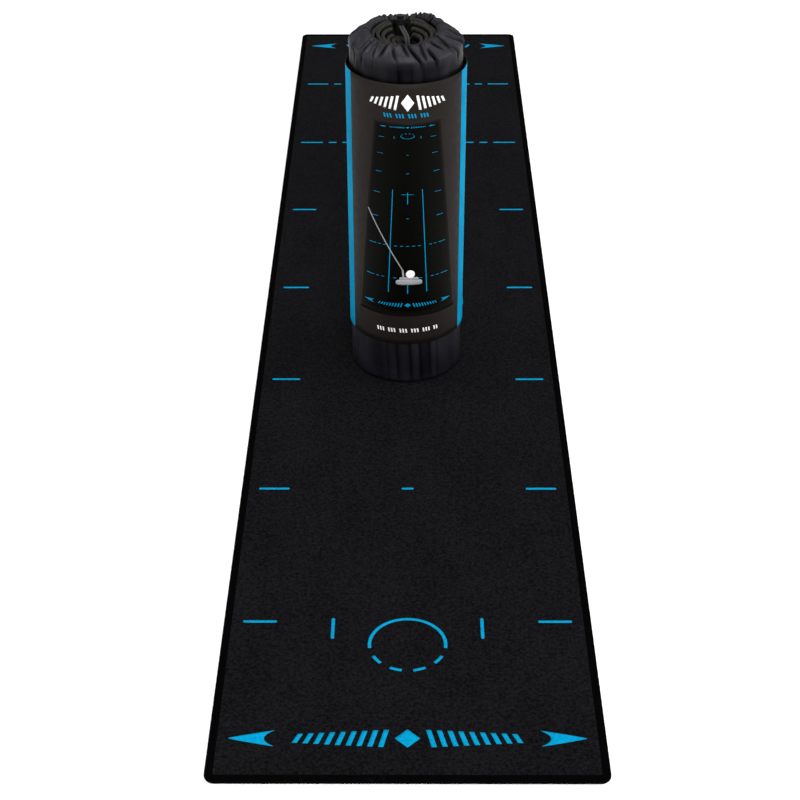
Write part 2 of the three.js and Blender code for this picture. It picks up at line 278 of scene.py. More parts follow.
class Finish:
    """A node material under construction, with its texture coordinates ready."""

    def __init__(self, name, roughness, specular=0.5, own_surface=False):
        self.material = bpy.data.materials.new(name)
        self.material.use_nodes = True
        self.tree = self.material.node_tree
        self.shader = self.tree.nodes["Principled BSDF"]
        self.shader.inputs["Roughness"].default_value = roughness
        self.shader.inputs["Specular IOR Level"].default_value = specular
        coordinates = self.attribute("surface").outputs["Vector"] if own_surface else None
        self.place = coordinates or self.node("ShaderNodeTexCoord").outputs["Object"]
        self.bumped = None

    def node(self, kind, **inputs):
        """Adds a node; the keywords are its input values or links, with _ for a space."""
        made = self.tree.nodes.new(kind)
        for name, value in inputs.items():
            self.feed(made.inputs[name.replace("_", " ")], value)
        return made

    def feed(self, socket, value):
        """Links an output to a socket, or sets the socket's value."""
        if isinstance(value, bpy.types.NodeSocket):
            self.tree.links.new(value, socket)
        else:
            socket.default_value = value

    def attribute(self, name):
        """What piece() stored with the mesh under this name."""
        made = self.tree.nodes.new("ShaderNodeAttribute")
        made.attribute_name = name
        return made

    def tone(self):
        """Painted light as given to piece(), how much light reaches each point; on the picture panel, the
        fade of its print.
        """
        return self.attribute("tone").outputs["Fac"]

    def noise(self, size, detail=2.0, roughness=0.5, stretch=None):
        """Noise whose lumps are about `size` across; stretch scales its coordinates along each axis."""
        place = self.place
        if stretch:
            place = self.node("ShaderNodeMapping", Vector=place, Scale=stretch).outputs["Vector"]
        settings = {"Scale": 1 / size, "Detail": detail, "Roughness": roughness}
        return self.node("ShaderNodeTexNoise", Vector=place, **settings).outputs["Fac"]

    def cells(self, size):
        """Distance from random cell centres, about `size` apart: dimples or fibre tips."""
        return self.node("ShaderNodeTexVoronoi", Vector=self.place, Scale=1 / size).outputs["Distance"]

    def waves(self, axis, pitch):
        """Threads `pitch` apart along one axis of the sheet, from 0 in a valley to 1 on a crown."""
        made = self.tree.nodes.new("ShaderNodeTexWave")
        made.bands_direction = axis
        self.feed(made.inputs["Vector"], self.place)
        made.inputs["Scale"].default_value = math.pi / (10 * pitch)
        return made.outputs["Fac"]

    def maths(self, operation, first, second):
        """One step of arithmetic, such as "ADD", on two values."""
        made = self.tree.nodes.new("ShaderNodeMath")
        made.operation = operation
        self.feed(made.inputs[0], first)
        self.feed(made.inputs[1], second)
        return made.outputs[0]

    def remap(self, value, low, high, from_low=0.3, from_high=0.7):
        """Spreads a value over low to high; noise mostly lies between 0.3 and 0.7."""
        made = self.tree.nodes.new("ShaderNodeMapRange")
        numbers = {"From Min": from_low, "From Max": from_high, "To Min": low, "To Max": high}
        for name, number in numbers.items():
            made.inputs[name].default_value = number
        self.feed(made.inputs["Value"], value)
        return made.outputs["Result"]

    def mix(self, share, first, second):
        """Colour between first and second."""
        made = self.tree.nodes.new("ShaderNodeMix")
        made.data_type = "RGBA"
        self.feed(made.inputs[0], share)
        self.feed(made.inputs[6], first)
        self.feed(made.inputs[7], second)
        return made.outputs[2]

    def colour(self, value):
        """Sets the surface's colour."""
        self.feed(self.shader.inputs["Base Color"], value)
        return self

    def rough(self, value):
        """Sets how rough the surface is."""
        self.feed(self.shader.inputs["Roughness"], value)
        return self

    def sheen(self, weight, roughness=0.5):
        """Light caught by the fibre ends at grazing angles."""
        self.shader.inputs["Sheen Weight"].default_value = weight
        self.shader.inputs["Sheen Roughness"].default_value = roughness
        return self

    def bump(self, height, distance, strength=1.0):
        """Adds relief `distance` metres deep; later calls add to earlier ones."""
        made = self.node("ShaderNodeBump", Height=height, Distance=distance, Strength=strength)
        if self.bumped is not None:
            self.feed(made.inputs["Normal"], self.bumped)
        self.bumped = made.outputs["Normal"]
        self.feed(self.shader.inputs["Normal"], self.bumped)
        return self


def rgb(red, green, blue):
    """Colour for a shader, from screen values of 0 to 255."""
    def linear(value):
        share = value / 255
        return share / 12.92 if share <= 0.04045 else ((share + 0.055) / 1.055) ** 2.4
    return (linear(red), linear(green), linear(blue), 1.0)


def pile_finish(name, dark, light, speckle_depth):
    """Dense cut pile: fibre tips, small tufts and broad shading where the nap leans."""
    finish = Finish(name, roughness=0.95, specular=0.04, own_surface=True)
    tufts = finish.noise(4.5 * MM, detail=4.0, roughness=0.85)
    nap = finish.noise(70 * MM, detail=2.0, stretch=(1.0, 0.45, 1.0))
    share = finish.maths("ADD", finish.remap(tufts, 0.0, 0.85, 0.38, 0.62), finish.remap(nap, 0.0, 0.15))
    finish.colour(finish.mix(share, dark, light))
    finish.bump(finish.noise(1.1 * MM, detail=2.0), speckle_depth)
    finish.bump(finish.noise(12 * MM, detail=2.0), 0.8 * MM, 0.5)
    return finish.material


def panel_finish():
    """Black print that fades into the card at its edges."""
    finish = Finish("ink_black", roughness=0.5, specular=0.04, own_surface=True)
    speck = finish.remap(finish.noise(0.9 * MM, detail=2.0), -0.04, 0.04)
    share = finish.maths("ADD", finish.tone(), speck)
    finish.colour(finish.mix(share, CARD_TONES[0], rgb(3, 3, 2)))
    finish.rough(finish.remap(finish.noise(9 * MM, detail=3.0), 0.4, 0.52))
    finish.bump(finish.noise(0.9 * MM, detail=3.0), 0.02 * MM)
    return finish.material


def rubber_finish():
    """Matt rubber with a fine pebbled grip."""
    finish = Finish("rubber", roughness=0.85, specular=0.3)
    finish.colour(finish.mix(finish.remap(finish.noise(20 * MM), 0, 1), rgb(16, 16, 16), rgb(26, 26, 25)))
    finish.rough(finish.remap(finish.noise(6 * MM), 0.78, 0.92))
    finish.bump(finish.cells(2.2 * MM), 0.25 * MM)
    return finish.material


def felt_finish():
    """Grey non-woven felt."""
    finish = Finish("primary_felt", roughness=0.95, specular=0.2)
    finish.colour(finish.mix(finish.noise(1.5 * MM, detail=4.0), rgb(52, 52, 50), rgb(88, 88, 84)))
    finish.bump(finish.noise(0.8 * MM, detail=4.0), 0.2 * MM)
    return finish.material


def yarn_finish(name, dark, light):
    """Overlocked yarn: fine fibres that run across the edge, with loose ones catching light."""
    finish = Finish(name, roughness=0.9, specular=0.02, own_surface=True)
    fibres = finish.noise(0.5 * MM, detail=3.0, stretch=(1.0, 0.12, 1.0))
    patches = finish.remap(finish.noise(14 * MM), 0.75, 1.25)
    # The tone paints shade onto the yarn: darker between stitches and towards the flat sides of the rolled
    # edge.
    lit = finish.maths("MULTIPLY", finish.tone(), patches)
    finish.colour(finish.mix(finish.maths("MULTIPLY", fibres, lit), dark, light))
    finish.bump(fibres, 0.25 * MM)
    return finish.material


def nylon_finish():
    """Thin coated nylon: a fine plain weave, a soft sheen, faint handling marks and painted light from the
    tone.
    """
    finish = Finish("bag_nylon", roughness=0.5, specular=0.22, own_surface=True)
    cloud = finish.remap(finish.noise(45 * MM, detail=3.0), 0.3, 1)
    # The tone paints shade into the colour: over the wall, in tucks and between ruffles, and lighter on
    # folds.
    finish.colour(finish.mix(finish.maths("MULTIPLY", finish.tone(), cloud), rgb(2, 2, 3), rgb(33, 33, 41)))
    finish.rough(finish.remap(finish.noise(18 * MM, detail=3.0), 0.44, 0.56))
    # Painted shade also dims the reflection where the tone is low.
    finish.feed(finish.shader.inputs["Specular IOR Level"], finish.maths("MULTIPLY", finish.tone(), 0.26))
    weave = finish.maths("ADD", finish.waves("X", 0.9 * MM), finish.waves("Y", 0.9 * MM))
    finish.bump(weave, 0.03 * MM, 0.6)
    finish.bump(finish.noise(5 * MM, detail=3.0), 0.35 * MM, 0.5)
    return finish.material


def cord_finish():
    """Braided cord: fine filaments, slightly shiny."""
    finish = Finish("cord", roughness=0.6, specular=0.4, own_surface=True)
    filaments = finish.noise(0.4 * MM, detail=2.0, stretch=(0.3, 1.0, 1.0))
    finish.colour(finish.mix(filaments, rgb(16, 16, 17), rgb(44, 44, 46)))
    finish.sheen(0.15, 0.4)
    finish.bump(filaments, 0.12 * MM)
    return finish.material


def plastic_finish(name, roughness, grain):
    """Moulded black plastic with a spark-eroded grain and slightly polished patches."""
    finish = Finish(name, roughness=roughness, specular=0.35)
    finish.colour(finish.mix(finish.noise(3 * MM), rgb(8, 8, 9), rgb(15, 15, 16)))
    finish.rough(finish.remap(finish.noise(4 * MM, detail=3.0), roughness - 0.08, roughness + 0.1))
    finish.bump(finish.noise(0.35 * MM, detail=1.0), grain)
    return finish.material


def steel_finish():
    """Bright drawn spring wire."""
    finish = Finish("spring_steel", roughness=0.3)
    finish.shader.inputs["Metallic"].default_value = 1.0
    finish.colour(finish.mix(finish.noise(1 * MM), rgb(170, 173, 176), rgb(205, 207, 210)))
    finish.rough(finish.remap(finish.noise(0.6 * MM), 0.22, 0.42))
    finish.bump(finish.noise(0.2 * MM, stretch=(1.0, 1.0, 6.0)), 0.01 * MM)
    return finish.material


def card_finish(name, dark, light, roughness=0.5, specular=0.07):
    """Printed card: satin ink over a faint paper grain."""
    finish = Finish(name, roughness=roughness, specular=specular, own_surface=True)
    cloud = finish.noise(60 * MM, detail=3.0)
    speck = finish.noise(0.6 * MM, detail=2.0)
    share = finish.maths("ADD", finish.remap(cloud, 0.0, 0.7), finish.remap(speck, 0.0, 0.3))
    finish.colour(finish.mix(share, dark, light))
    finish.rough(finish.remap(finish.noise(9 * MM, detail=3.0), roughness - 0.06, roughness + 0.08))
    finish.bump(finish.noise(0.9 * MM, detail=3.0), 0.02 * MM)
    return finish.material


CARD_TONES = rgb(25, 21, 19), rgb(31, 27, 25)
BLUE_DARK, BLUE_LIGHT = rgb(0, 118, 159), rgb(0, 142, 185)
PILE = pile_finish("pile_black", rgb(1, 1, 2), rgb(21, 21, 23), 0.5 * MM)
PILE_BLUE = pile_finish("pile_blue", BLUE_DARK, BLUE_LIGHT, 0.3 * MM)
RUBBER = rubber_finish()
FELT = felt_finish()
YARN = yarn_finish("binding_yarn", rgb(0, 0, 0), rgb(3, 3, 3))
# The rolled edge's yarn is the binding's yarn in a much lighter colour: a painted highlight on the crests of
# the turns.
ROLL_YARN_PAINTED_HIGHLIGHT = yarn_finish("roll_edge_yarn_painted_highlight", rgb(2, 2, 2), rgb(70, 68, 64))
NYLON = nylon_finish()
CORD = cord_finish()
LOCK_PLASTIC = plastic_finish("lock_plastic", 0.42, 0.02 * MM)
TIP_PLASTIC = plastic_finish("tip_plastic", 0.28, 0.01 * MM)
STEEL = steel_finish()
CARD = card_finish("sleeve_card", *CARD_TONES)
INK_BLUE = card_finish("ink_blue", BLUE_DARK, BLUE_LIGHT, 0.7, 0.02)
INK_WHITE = card_finish("ink_white", rgb(226, 226, 226), rgb(246, 246, 246), 0.45)
INK_GREY = card_finish("ink_grey", rgb(120, 122, 126), rgb(160, 162, 166), 0.45)
INK_BLACK = panel_finish()


# ---------- the two ways the mat lies ----------


def lay_flat(points):
    """The flat mat's coordinates are the frame's own."""
    return points


def stand(points):
    """Puts points written in the laid-out mat's sizes, from the bag's foot, in the frame."""
    return BAG_FOOT + BAGGED_SIZE * points


MOUTH_DRAWN = 7.5 * MM
MOUTH_WANDER = 0.6 * MM
MOUTH_RISE = 3 * MM
MOUTH_RISE_AT_BACK = 3.5 * MM
MOUTH_SAG = 0.7 * MM
TOP_SQUEEZE = 0.042

FUNNEL_FOOT, FUNNEL_RISE, FUNNEL_RADIUS = 7 * MM, 9.5 * MM, 45 * MM
RISE_AT_BACK = 5 * MM
RIM_DROP, HOOD_DROP = 4.5 * MM, 14 * MM
TRENCH_HALF_WIDTH, TRENCH_EDGE = 9 * MM, 6 * MM
TRENCH_END = 50 * MM


def mouth_radius(angle):
    """Radius of the bag's mouth: drawn in on the +x side, but not where the cord comes out."""
    drawn = MOUTH_DRAWN * near(angle, -5, 0, 95) + MOUTH_WANDER * round_noise(angle, 9, 36)
    return RING_RADIUS - drawn * (1 - near(angle, EXIT_DEGREES, 22, 60))


def back_share(angle):
    """0 at the front of the bag, and up to 1 at its back."""
    return 0.5 + 0.5 * np.sin(angle)


def mouth_height(angle):
    """Height of the middle of the mouth's hem: it stands up at the back, and the lock holds it down."""
    rise = MOUTH_RISE + MOUTH_RISE_AT_BACK * back_share(angle) + MOUTH_SAG * round_noise(angle, 11, 46)
    return RING_HEIGHT + rise * (1 - 0.5 * near(angle, EXIT_DEGREES, 12, 40))


def wound_angle(wound):
    """Angle turned when this length of mat is wound on, from the core outwards."""
    pull = ROLL_START_RADIUS ** 2 + ROLL_PITCH * wound / math.pi
    return FULL_TURN * (np.sqrt(pull) - ROLL_START_RADIUS) / ROLL_PITCH


def drawn_in(height):
    """How much of its radius the bag keeps at this height, and the roll in it: they narrow at the top."""
    return 1 - TOP_SQUEEZE * smooth_step(height, 0.74 * BAG_HEIGHT, 0.9 * BAG_HEIGHT)


def roll_rise(radius, angle):
    """How far the turns stand up out of the roll: a shallow funnel inside the mouth.

    They stay lower under the hood, and in the trench that the lock and the tails of the cord lie in.
    """
    mouth = mouth_radius(angle)
    outwards = smooth_step(radius, ROLL_START_RADIUS, FUNNEL_RADIUS)
    funnel = FUNNEL_FOOT + (FUNNEL_RISE + RISE_AT_BACK * back_share(angle)) * outwards
    under_rim = RIM_DROP * smooth_step(radius, mouth - 8 * MM, mouth - 4 * MM)
    under_hood = HOOD_DROP * smooth_step(radius, mouth - MM, mouth + 10 * MM)
    rise = funnel - under_rim - under_hood
    from_exit = turn_from(angle, EXIT_ANGLE)
    beside_cord = np.abs(radius * np.sin(from_exit))
    trench = 1 - smooth_step(beside_cord, TRENCH_HALF_WIDTH, TRENCH_HALF_WIDTH + TRENCH_EDGE)
    trench *= (np.cos(from_exit) > 0) * (1 - smooth_step(radius, TRENCH_END, TRENCH_END + 4 * MM))
    return rise - trench * np.maximum(rise, 0)


def roll_up(points):
    """Winds the mat on the bag's axis, pile inwards, with its -y end in the core and its +x edge upwards."""
    x, y, z = points[..., 0], points[..., 1], points[..., 2]
    turned = wound_angle(y + HALF_LENGTH)
    angle = ROLL_START_ANGLE + turned
    middle = ROLL_START_RADIUS + ROLL_PITCH * turned / FULL_TURN
    oval = ROLL_OVAL * (1 - turned / wound_angle(2 * HALF_LENGTH)) * np.cos(2 * (angle - EXIT_ANGLE))
    radius = middle + oval + ROLL_SQUEEZE * (BINDING_TOP / 2 - z)
    slip = roll_rise(middle, angle) + 0.6 * MM * smooth_noise(turned / 1.7, turned * 0, seed=3)
    height = ROLL_FOOT + HALF_WIDTH + x + slip * smooth_step(x, 0, HALF_WIDTH)
    radius = radius * drawn_in(height)
    return stand(np.stack([radius * np.cos(angle), radius * np.sin(angle), height], axis=-1))


def pile_height(x, y):
    """Height of the pile's top: short fibres never stand quite level."""
    broad = smooth_noise(x / (34 * MM), y / (41 * MM), seed=11)
    tufts = smooth_noise(x / (6 * MM), y / (6.5 * MM), seed=12)
    return PILE_TOP + (0.10 * broad + 0.10 * tufts) * MM


def round_corner(x, y, half_x, half_y, radius):
    """Pulls the points beyond a rounded corner back onto it."""
    beyond_x, beyond_y = np.abs(x) - (half_x - radius), np.abs(y) - (half_y - radius)
    distance = np.hypot(beyond_x, beyond_y)
    outside = (beyond_x > 0) & (beyond_y > 0) & (distance > radius)
    share = np.where(outside, radius / np.maximum(distance, 1e-9), 1)
    new_x = np.sign(x) * np.where(outside, half_x - radius + beyond_x * share, np.abs(x))
    new_y = np.sign(y) * np.where(outside, half_y - radius + beyond_y * share, np.abs(y))
    return new_x, new_y


def mat_layer(bottom, top, across, along, place):
    """One layer of the mat as a closed slab, across by along cells; top may be a height or a function."""
    half_x, half_y = HALF_WIDTH - LAYER_EDGE, HALF_LENGTH - LAYER_EDGE
    sides = np.linspace(-half_x, half_x, across), np.linspace(-half_y, half_y, along)
    x, y = np.meshgrid(*sides, indexing="ij")
    x, y = round_corner(x, y, half_x, half_y, CORNER_RADIUS - LAYER_EDGE)
    high = top(x, y) if callable(top) else np.full_like(x, top)
    upper = np.stack([x, y, high], axis=-1)
    lower = np.stack([x, y, np.full_like(x, bottom)], axis=-1)
    points, faces = slab(place(upper), place(lower))
    return (points, faces), np.concatenate([upper.reshape(-1, 3), lower.reshape(-1, 3)])


def edge_line():
    """The mat's outline from the -y end of its +x side: length run, points and outward directions."""
    reach = np.array([HALF_WIDTH, HALF_LENGTH]) - CORNER_RADIUS
    points, directions = [], []
    for index, side in enumerate(((1, 1), (-1, 1), (-1, -1), (1, -1))):
        turn = math.pi / 2 * (index + np.linspace(0, 1, 24))
        direction = np.stack([np.cos(turn), np.sin(turn)], axis=-1)
        points.append(reach * side + CORNER_RADIUS * direction)
        directions.append(direction)
    points, directions = np.concatenate(points), np.concatenate(directions)
    points = np.concatenate([points[-1:], points])
    directions = np.concatenate([directions[-1:], directions])
    run = np.append(0, np.cumsum(np.linalg.norm(np.diff(points, axis=0), axis=1)))
    return run, points, directions


EDGE_RUN, EDGE_POINTS, EDGE_DIRECTIONS = edge_line()


def edge_at(run, inset):
    """Point of the mat's outline after this run, moved inwards by inset."""
    run = run % EDGE_RUN[-1]
    spots = [np.interp(run, EDGE_RUN, EDGE_POINTS[:, k]) for k in (0, 1)]
    ways = [np.interp(run, EDGE_RUN, EDGE_DIRECTIONS[:, k]) for k in (0, 1)]
    return spots[0] - inset * ways[0], spots[1] - inset * ways[1]


def binding_section(nose):
    """The binding's C section, once round: outside from the top flange to the bottom one, then back inside.

    nose is how far the edge's rounding reaches in. Returns insets, heights, and how deep the stitches cut.
    """
    middle = BINDING_TOP / 2
    swing = np.linspace(math.pi / 2, -math.pi / 2, 8)
    inner_top = PILE_TOP + 0.1 * MM
    top_insets = [BINDING_WIDTH, 0.8 * BINDING_WIDTH, 0.5 * BINDING_WIDTH]
    top_heights = [PILE_TOP + 0.12 * MM, BINDING_TOP - 0.1 * MM, BINDING_TOP]
    inner_insets = [BINDING_WIDTH, BINDING_WIDTH, BINDING_EDGE, BINDING_EDGE, BINDING_WIDTH]
    inner_heights = [0, BINDING_FLANGE, BINDING_FLANGE, inner_top, inner_top]
    insets = np.concatenate([top_insets, nose * (1 - np.cos(swing)), inner_insets])
    heights = np.concatenate([top_heights, middle * (1 + np.sin(swing)), inner_heights])
    depth = np.concatenate([[0.0, 0.6], np.ones(7), [0.5], np.zeros(6)])
    return insets, heights, depth


def binding(runs, stitched, place, nose, shadow):
    """The overlocked edge: yarn wraps the edge in slanting stitches, one for every four runs.

    shadow is how much painted shade darkens the yarn where the edge's rounding meets its flat sides.
    """
    insets, heights, depth = binding_section(nose)
    phase = np.arange(len(runs)) % 4
    crown = np.where(stitched, np.array([0.0, 0.8, 1.0, 0.8])[phase], 0.7)
    rng = np.random.default_rng(21)
    stitch = np.arange(len(runs)) // 4
    fullness = rng.uniform(0.75, 1.0, stitch[-1] + 1)[stitch]
    wander = rng.uniform(-0.15, 0.15, stitch[-1] + 1)[stitch] * STITCH_PITCH
    cut = ((1 - crown * fullness) * 0.55 * MM)[:, None] * depth
    slant = np.interp(insets, [0, BINDING_WIDTH], [0, 0.9 * STITCH_PITCH])
    slant *= np.sign(heights - BINDING_TOP / 2)
    run = (runs + np.where(stitched, wander, 0))[:, None] + 0 * insets
    across = np.clip((heights - BINDING_TOP / 2) / (BINDING_TOP / 2), -1, 1)
    inset = insets + cut * np.sqrt(1 - across ** 2)
    height = heights - cut * across
    x, y = edge_at(run + slant, inset)
    points = place(np.stack([x, y, height], axis=-1))
    steps = [np.diff(values, prepend=values[0]) for values in (insets, heights)]
    section_run = np.cumsum(np.hypot(*steps))
    surface = np.stack([run, section_run + 0 * run, 0 * run], axis=-1)
    # Painted shade: darker yarn in the dips between stitches, and by `shadow` towards the flat sides of the
    # edge.
    tone = (0.6 + 0.4 * crown)[:, None] * (1 - shadow * smooth_step(insets, 0.6 * MM, 4 * MM))
    return ring(points), surface.reshape(-1, 3), tone


def stitched_runs(from_run, to_run):
    """Four runs a stitch over part of the outline, and coarse ones over the rest."""
    stitches = round((to_run - from_run) / STITCH_PITCH)
    fine = np.linspace(from_run, to_run, 4 * stitches, endpoint=False)
    rest = EDGE_RUN[-1] - (to_run - from_run)
    coarse = np.linspace(to_run, from_run + EDGE_RUN[-1], 4 * round(rest / (24 * MM)), endpoint=False)
    if rest < STITCH_PITCH:
        return fine, np.full(len(fine), True)
    return np.append(fine, coarse), np.append(np.full(len(fine), True), np.full(len(coarse), False))


def build_mat_state(prefix, body, place, along):
    """All four layers of the mat, either laid flat or rolled up."""
    flat = place is lay_flat
    across = 126 if flat else 12
    layers = (
        ("backing", "rubber", RUBBER),
        ("primary_backing", "primary_felt", FELT),
        ("pile", "pile", PILE),
    )
    for layer, slot, material in layers:
        node = f"{prefix}_{layer}"
        low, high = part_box(f"mat_{layer}")
        fine = layer == "pile"
        top = pile_height if fine and flat else high.z
        bottom = low.z + (BINDING_FLANGE + 0.1 * MM if layer == "backing" else 0)
        cells = (across if fine else 12, along if fine or not flat else 60)
        solid, surface = mat_layer(bottom, top, *cells, place)
        piece(f"{node}_looks", solid, material, body, (node,), surface)
    whole = EDGE_RUN[-1]
    runs = stitched_runs(0, whole) if flat else stitched_runs(0, 2 * (HALF_LENGTH - CORNER_RADIUS))
    # The rolled edge gets painted shade in the grooves between its turns.
    solid, surface, tone = binding(*runs, place, 2.8 * MM if flat else 5.0 * MM, 0 if flat else 0.93)
    node = f"{prefix}_edge_binding"
    piece(f"{node}_looks", solid, YARN if flat else ROLL_YARN_PAINTED_HIGHLIGHT, body, (node,), surface, tone)


build_mat_state("mat", "mat", lay_flat, 600)
build_mat_state("rolled", "bagged_roll", roll_up, 640)


# ---------- markings: flat outlines, as grids of points across a shape ----------


def line_grid(start, end, width=LINE_WIDTH, step=3 * MM, ends="round"):
    """A straight line with rounded ends, as a grid of points."""
    start, end = np.array(start, float), np.array(end, float)
    length = np.linalg.norm(end - start)
    along = (end - start) / length
    side = np.array([-along[1], along[0]])
    count = max(2, round(length / step))
    if ends == "round":
        swing = np.radians((15, 40, 65))
        cap_run, cap_half = width / 2 * (1 - np.cos(swing)), width / 2 * np.sin(swing)
        straight = np.linspace(width / 2, length - width / 2, count)
        run = np.concatenate([cap_run, straight, length - cap_run[::-1]])
        half = np.concatenate([cap_half, np.full(count, width / 2), cap_half[::-1]])
    else:
        run = np.linspace(0, length, count)
        half = np.full(count, width / 2)
    share = np.linspace(-1, 1, 4)
    return start + run[:, None, None] * along + (half[:, None] * share)[..., None] * side


def arc_grid(centre, radius, from_degrees, to_degrees, width=LINE_WIDTH):
    """Part of a circle, as a grid of points."""
    steps = max(3, round(abs(to_degrees - from_degrees) / 4))
    angles = np.radians(np.linspace(from_degrees, to_degrees, steps))
    radii = radius + width / 2 * np.linspace(-1, 1, 4)
    angle, r = np.meshgrid(angles, radii, indexing="ij")
    return np.stack([centre[0] + r * np.cos(angle), centre[1] + r * np.sin(angle)], axis=-1)


def arrow_grid(tip, back, half_height, notch):
    """A swept arrowhead: a long point, two barbs and a hollow back."""
    side = np.linspace(-1, 1, 9)
    reach = np.linspace(0.03, 1, 9)
    reach, side = np.meshgrid(reach, side, indexing="ij")
    length = tip[0] - back
    hollow = notch * (1 - side ** 2) * reach ** 2
    x = tip[0] - length * reach + np.sign(length) * hollow
    y = tip[1] + half_height * side * reach ** 0.9
    return np.stack([x, y], axis=-1)


def bar_grid(x, y, width, height, slant):
    """A slanted bar with square ends."""
    across, up = np.meshgrid(np.linspace(-0.5, 0.5, 3), np.linspace(-0.5, 0.5, 7), indexing="ij")
    return np.stack([x + across * width + up * slant, y + up * height], axis=-1)


def diamond_grid(x, y, half_width, half_height):
    """A diamond: a square grid, turned."""
    first, second = np.meshgrid(np.linspace(-1, 1, 7), np.linspace(-1, 1, 7), indexing="ij")
    return np.stack([x + half_width * (first + second) / 2, y + half_height * (first - second) / 2], axis=-1)


def disc_grid(x, y, radius):
    """A disc: a square grid, bent so that its border is a circle."""
    first, second = np.meshgrid(np.linspace(-1, 1, 9), np.linspace(-1, 1, 9), indexing="ij")
    round_first = first * np.sqrt(1 - second ** 2 / 2)
    round_second = second * np.sqrt(1 - first ** 2 / 2)
    return np.stack([x + radius * round_first, y + radius * round_second], axis=-1)


def both_sides(grid):
    """A grid and its mirror image across the mat's middle line."""
    return [grid, grid[::-1] * np.array([-1, 1])]


def tick_marks():
    """Short lines at both sides of the mat, row by row."""
    rows = np.arange(-3, 4) * ROW_SPACING
    return [grid for y in rows for grid in both_sides(line_grid((177.5 * MM, y), (223.5 * MM, y)))]


def centre_dashes():
    """A short dash on the middle line at three of the rows."""
    return [line_grid((-9 * MM, row * ROW_SPACING), (9 * MM, row * ROW_SPACING)) for row in (-2, -1, 1)]


def target_circle():
    """A golf hole's outline, dashed on the side nearer to the end, with a short line at each side."""
    centre, radius = (0, -952 * MM), 51 * MM
    arcs = [arc_grid(centre, radius, -8, 188)]
    arcs += [arc_grid(centre, radius, middle - 9.5, middle + 9.5) for middle in (-36, -72, -108, -144)]
    return arcs + both_sides(line_grid((101 * MM, -941 * MM), (101 * MM, -899 * MM)))


def dashed_rows():
    """Two rows of dashes right across the mat."""
    grids = []
    for y in (2 * ROW_SPACING, 3 * ROW_SPACING):
        for x in (129 * MM, 157 * MM):
            grids += both_sides(line_grid((x - 8.5 * MM, y), (x + 8.5 * MM, y)))
        for x in np.arange(-2, 3) * 32.7 * MM:
            grids.append(line_grid((x - 8.5 * MM, y), (x + 8.5 * MM, y)))
    return grids


def putting_lines():
    """Two long lines that the putter swings between, a T to aim from and a line to the ball."""
    grids = both_sides(line_grid((95 * MM, -60 * MM), (95 * MM, 1030 * MM), step=9 * MM))
    grids.append(line_grid((-39 * MM, 0), (39 * MM, 0)))
    grids.append(line_grid((0, -28 * MM), (0, 125 * MM)))
    grids.append(line_grid((0, 900 * MM), (0, 1035 * MM)))
    return grids


def end_motif(y, turn):
    """A plain pattern of bars between two arrowheads, across one end of the mat; turn is 1 or -1."""
    grids = []
    for side in (-1, 1):
        tip = (side * 226 * MM, y)
        grids.append(arrow_grid(tip, side * 167 * MM, 14 * MM, 13 * MM))
    bars = [diamond_grid(0, y, 16 * MM, 16 * MM)]
    for index in range(9):
        x = (30 + 13.5 * index) * MM
        height = (30 - 1.8 * index) * MM
        bars += both_sides(bar_grid(x, y, 6.5 * MM, height, -turn * 7 * MM))
    return grids + bars


MAT_MARKINGS = {
    "tick_marks": tick_marks(),
    "centre_dashes": centre_dashes(),
    "target_circle": target_circle(),
    "dashed_rows": dashed_rows(),
    "putting_lines": putting_lines(),
    "near_end_motif": end_motif(-1127 * MM, 1),
    "far_end_motif": end_motif(1127 * MM, -1),
}


def raised(grids, place, bottom, top):
    """Thin closed solids over flat grids of points; place turns (x, y, height) into the frame's points."""
    solids, surfaces = [], []
    for grid in grids:
        x, y = grid[..., 0], grid[..., 1]
        upper = np.stack([x, y, top(x, y)], axis=-1)
        lower = np.stack([x, y, bottom(x, y)], axis=-1)
        solids.append(slab(place(upper), place(lower)))
        surfaces += [upper.reshape(-1, 3), lower.reshape(-1, 3)]
    return join_solids(solids), np.concatenate(surfaces)


def dye_markings():
    """The mat's markings: pile of another colour, level with the rest but for a hair."""
    for name, grids in MAT_MARKINGS.items():
        solid, surface = raised(
            grids,
            lay_flat,
            lambda x, y: pile_height(x, y) - 0.6 * MM,
            lambda x, y: pile_height(x, y) + DYE_LIFT,
        )
        piece(f"mat_{name}", solid, PILE_BLUE, "mat", surface=surface)


dye_markings()


# ---------- bag ----------

BAG_COLUMNS = 600
WALL_RADIUS = BAG_RADIUS - CLOTH / 2
MOST_OUT, MOST_IN = 1.3 * MM, 1.4 * MM
FOOT_RADIUS = 6 * MM
SHOULDER_RADIUS = 6.5 * MM
BEHIND_SLEEVE_LOW, BEHIND_SLEEVE_HIGH = 90 * MM, 380 * MM
HEM_TUBE = 2.7 * MM
HEM_WRAP = HEM_TUBE + 0.8 * MM
SHOULDER_CENTRE = np.array([WALL_RADIUS - SHOULDER_RADIUS, BAG_HEIGHT - 10.5 * MM])
HEM_CENTRE = np.array([RING_RADIUS, RING_HEIGHT])

# How many of each kind of fold go round the bag.
WALL_CELLS, LOW_GATHERS, HIGH_GATHERS = 64, 33, 29
HOOD_CREASES, RIM_RUFFLES, HEM_GATHERS = 34, 63, 74
BASE_PUCKERS, HEM_PUFFS, HOOD_LUMPS = 40, 30, 12

# How far each kind stands off the cloth's profile where it is fullest, in millimetres.
SOFT_DEPTH, FINE_DEPTH, LOW_DEPTH, HIGH_DEPTH = 0.4, 0.2, 3.4, 1.3
HOOD_SWELL, LUMP_DEPTH, RIDGE_DEPTH, TUCK_DEPTH, RUFFLE_DEPTH = 1.4, 1.8, 2.0, 6.2, 1.2

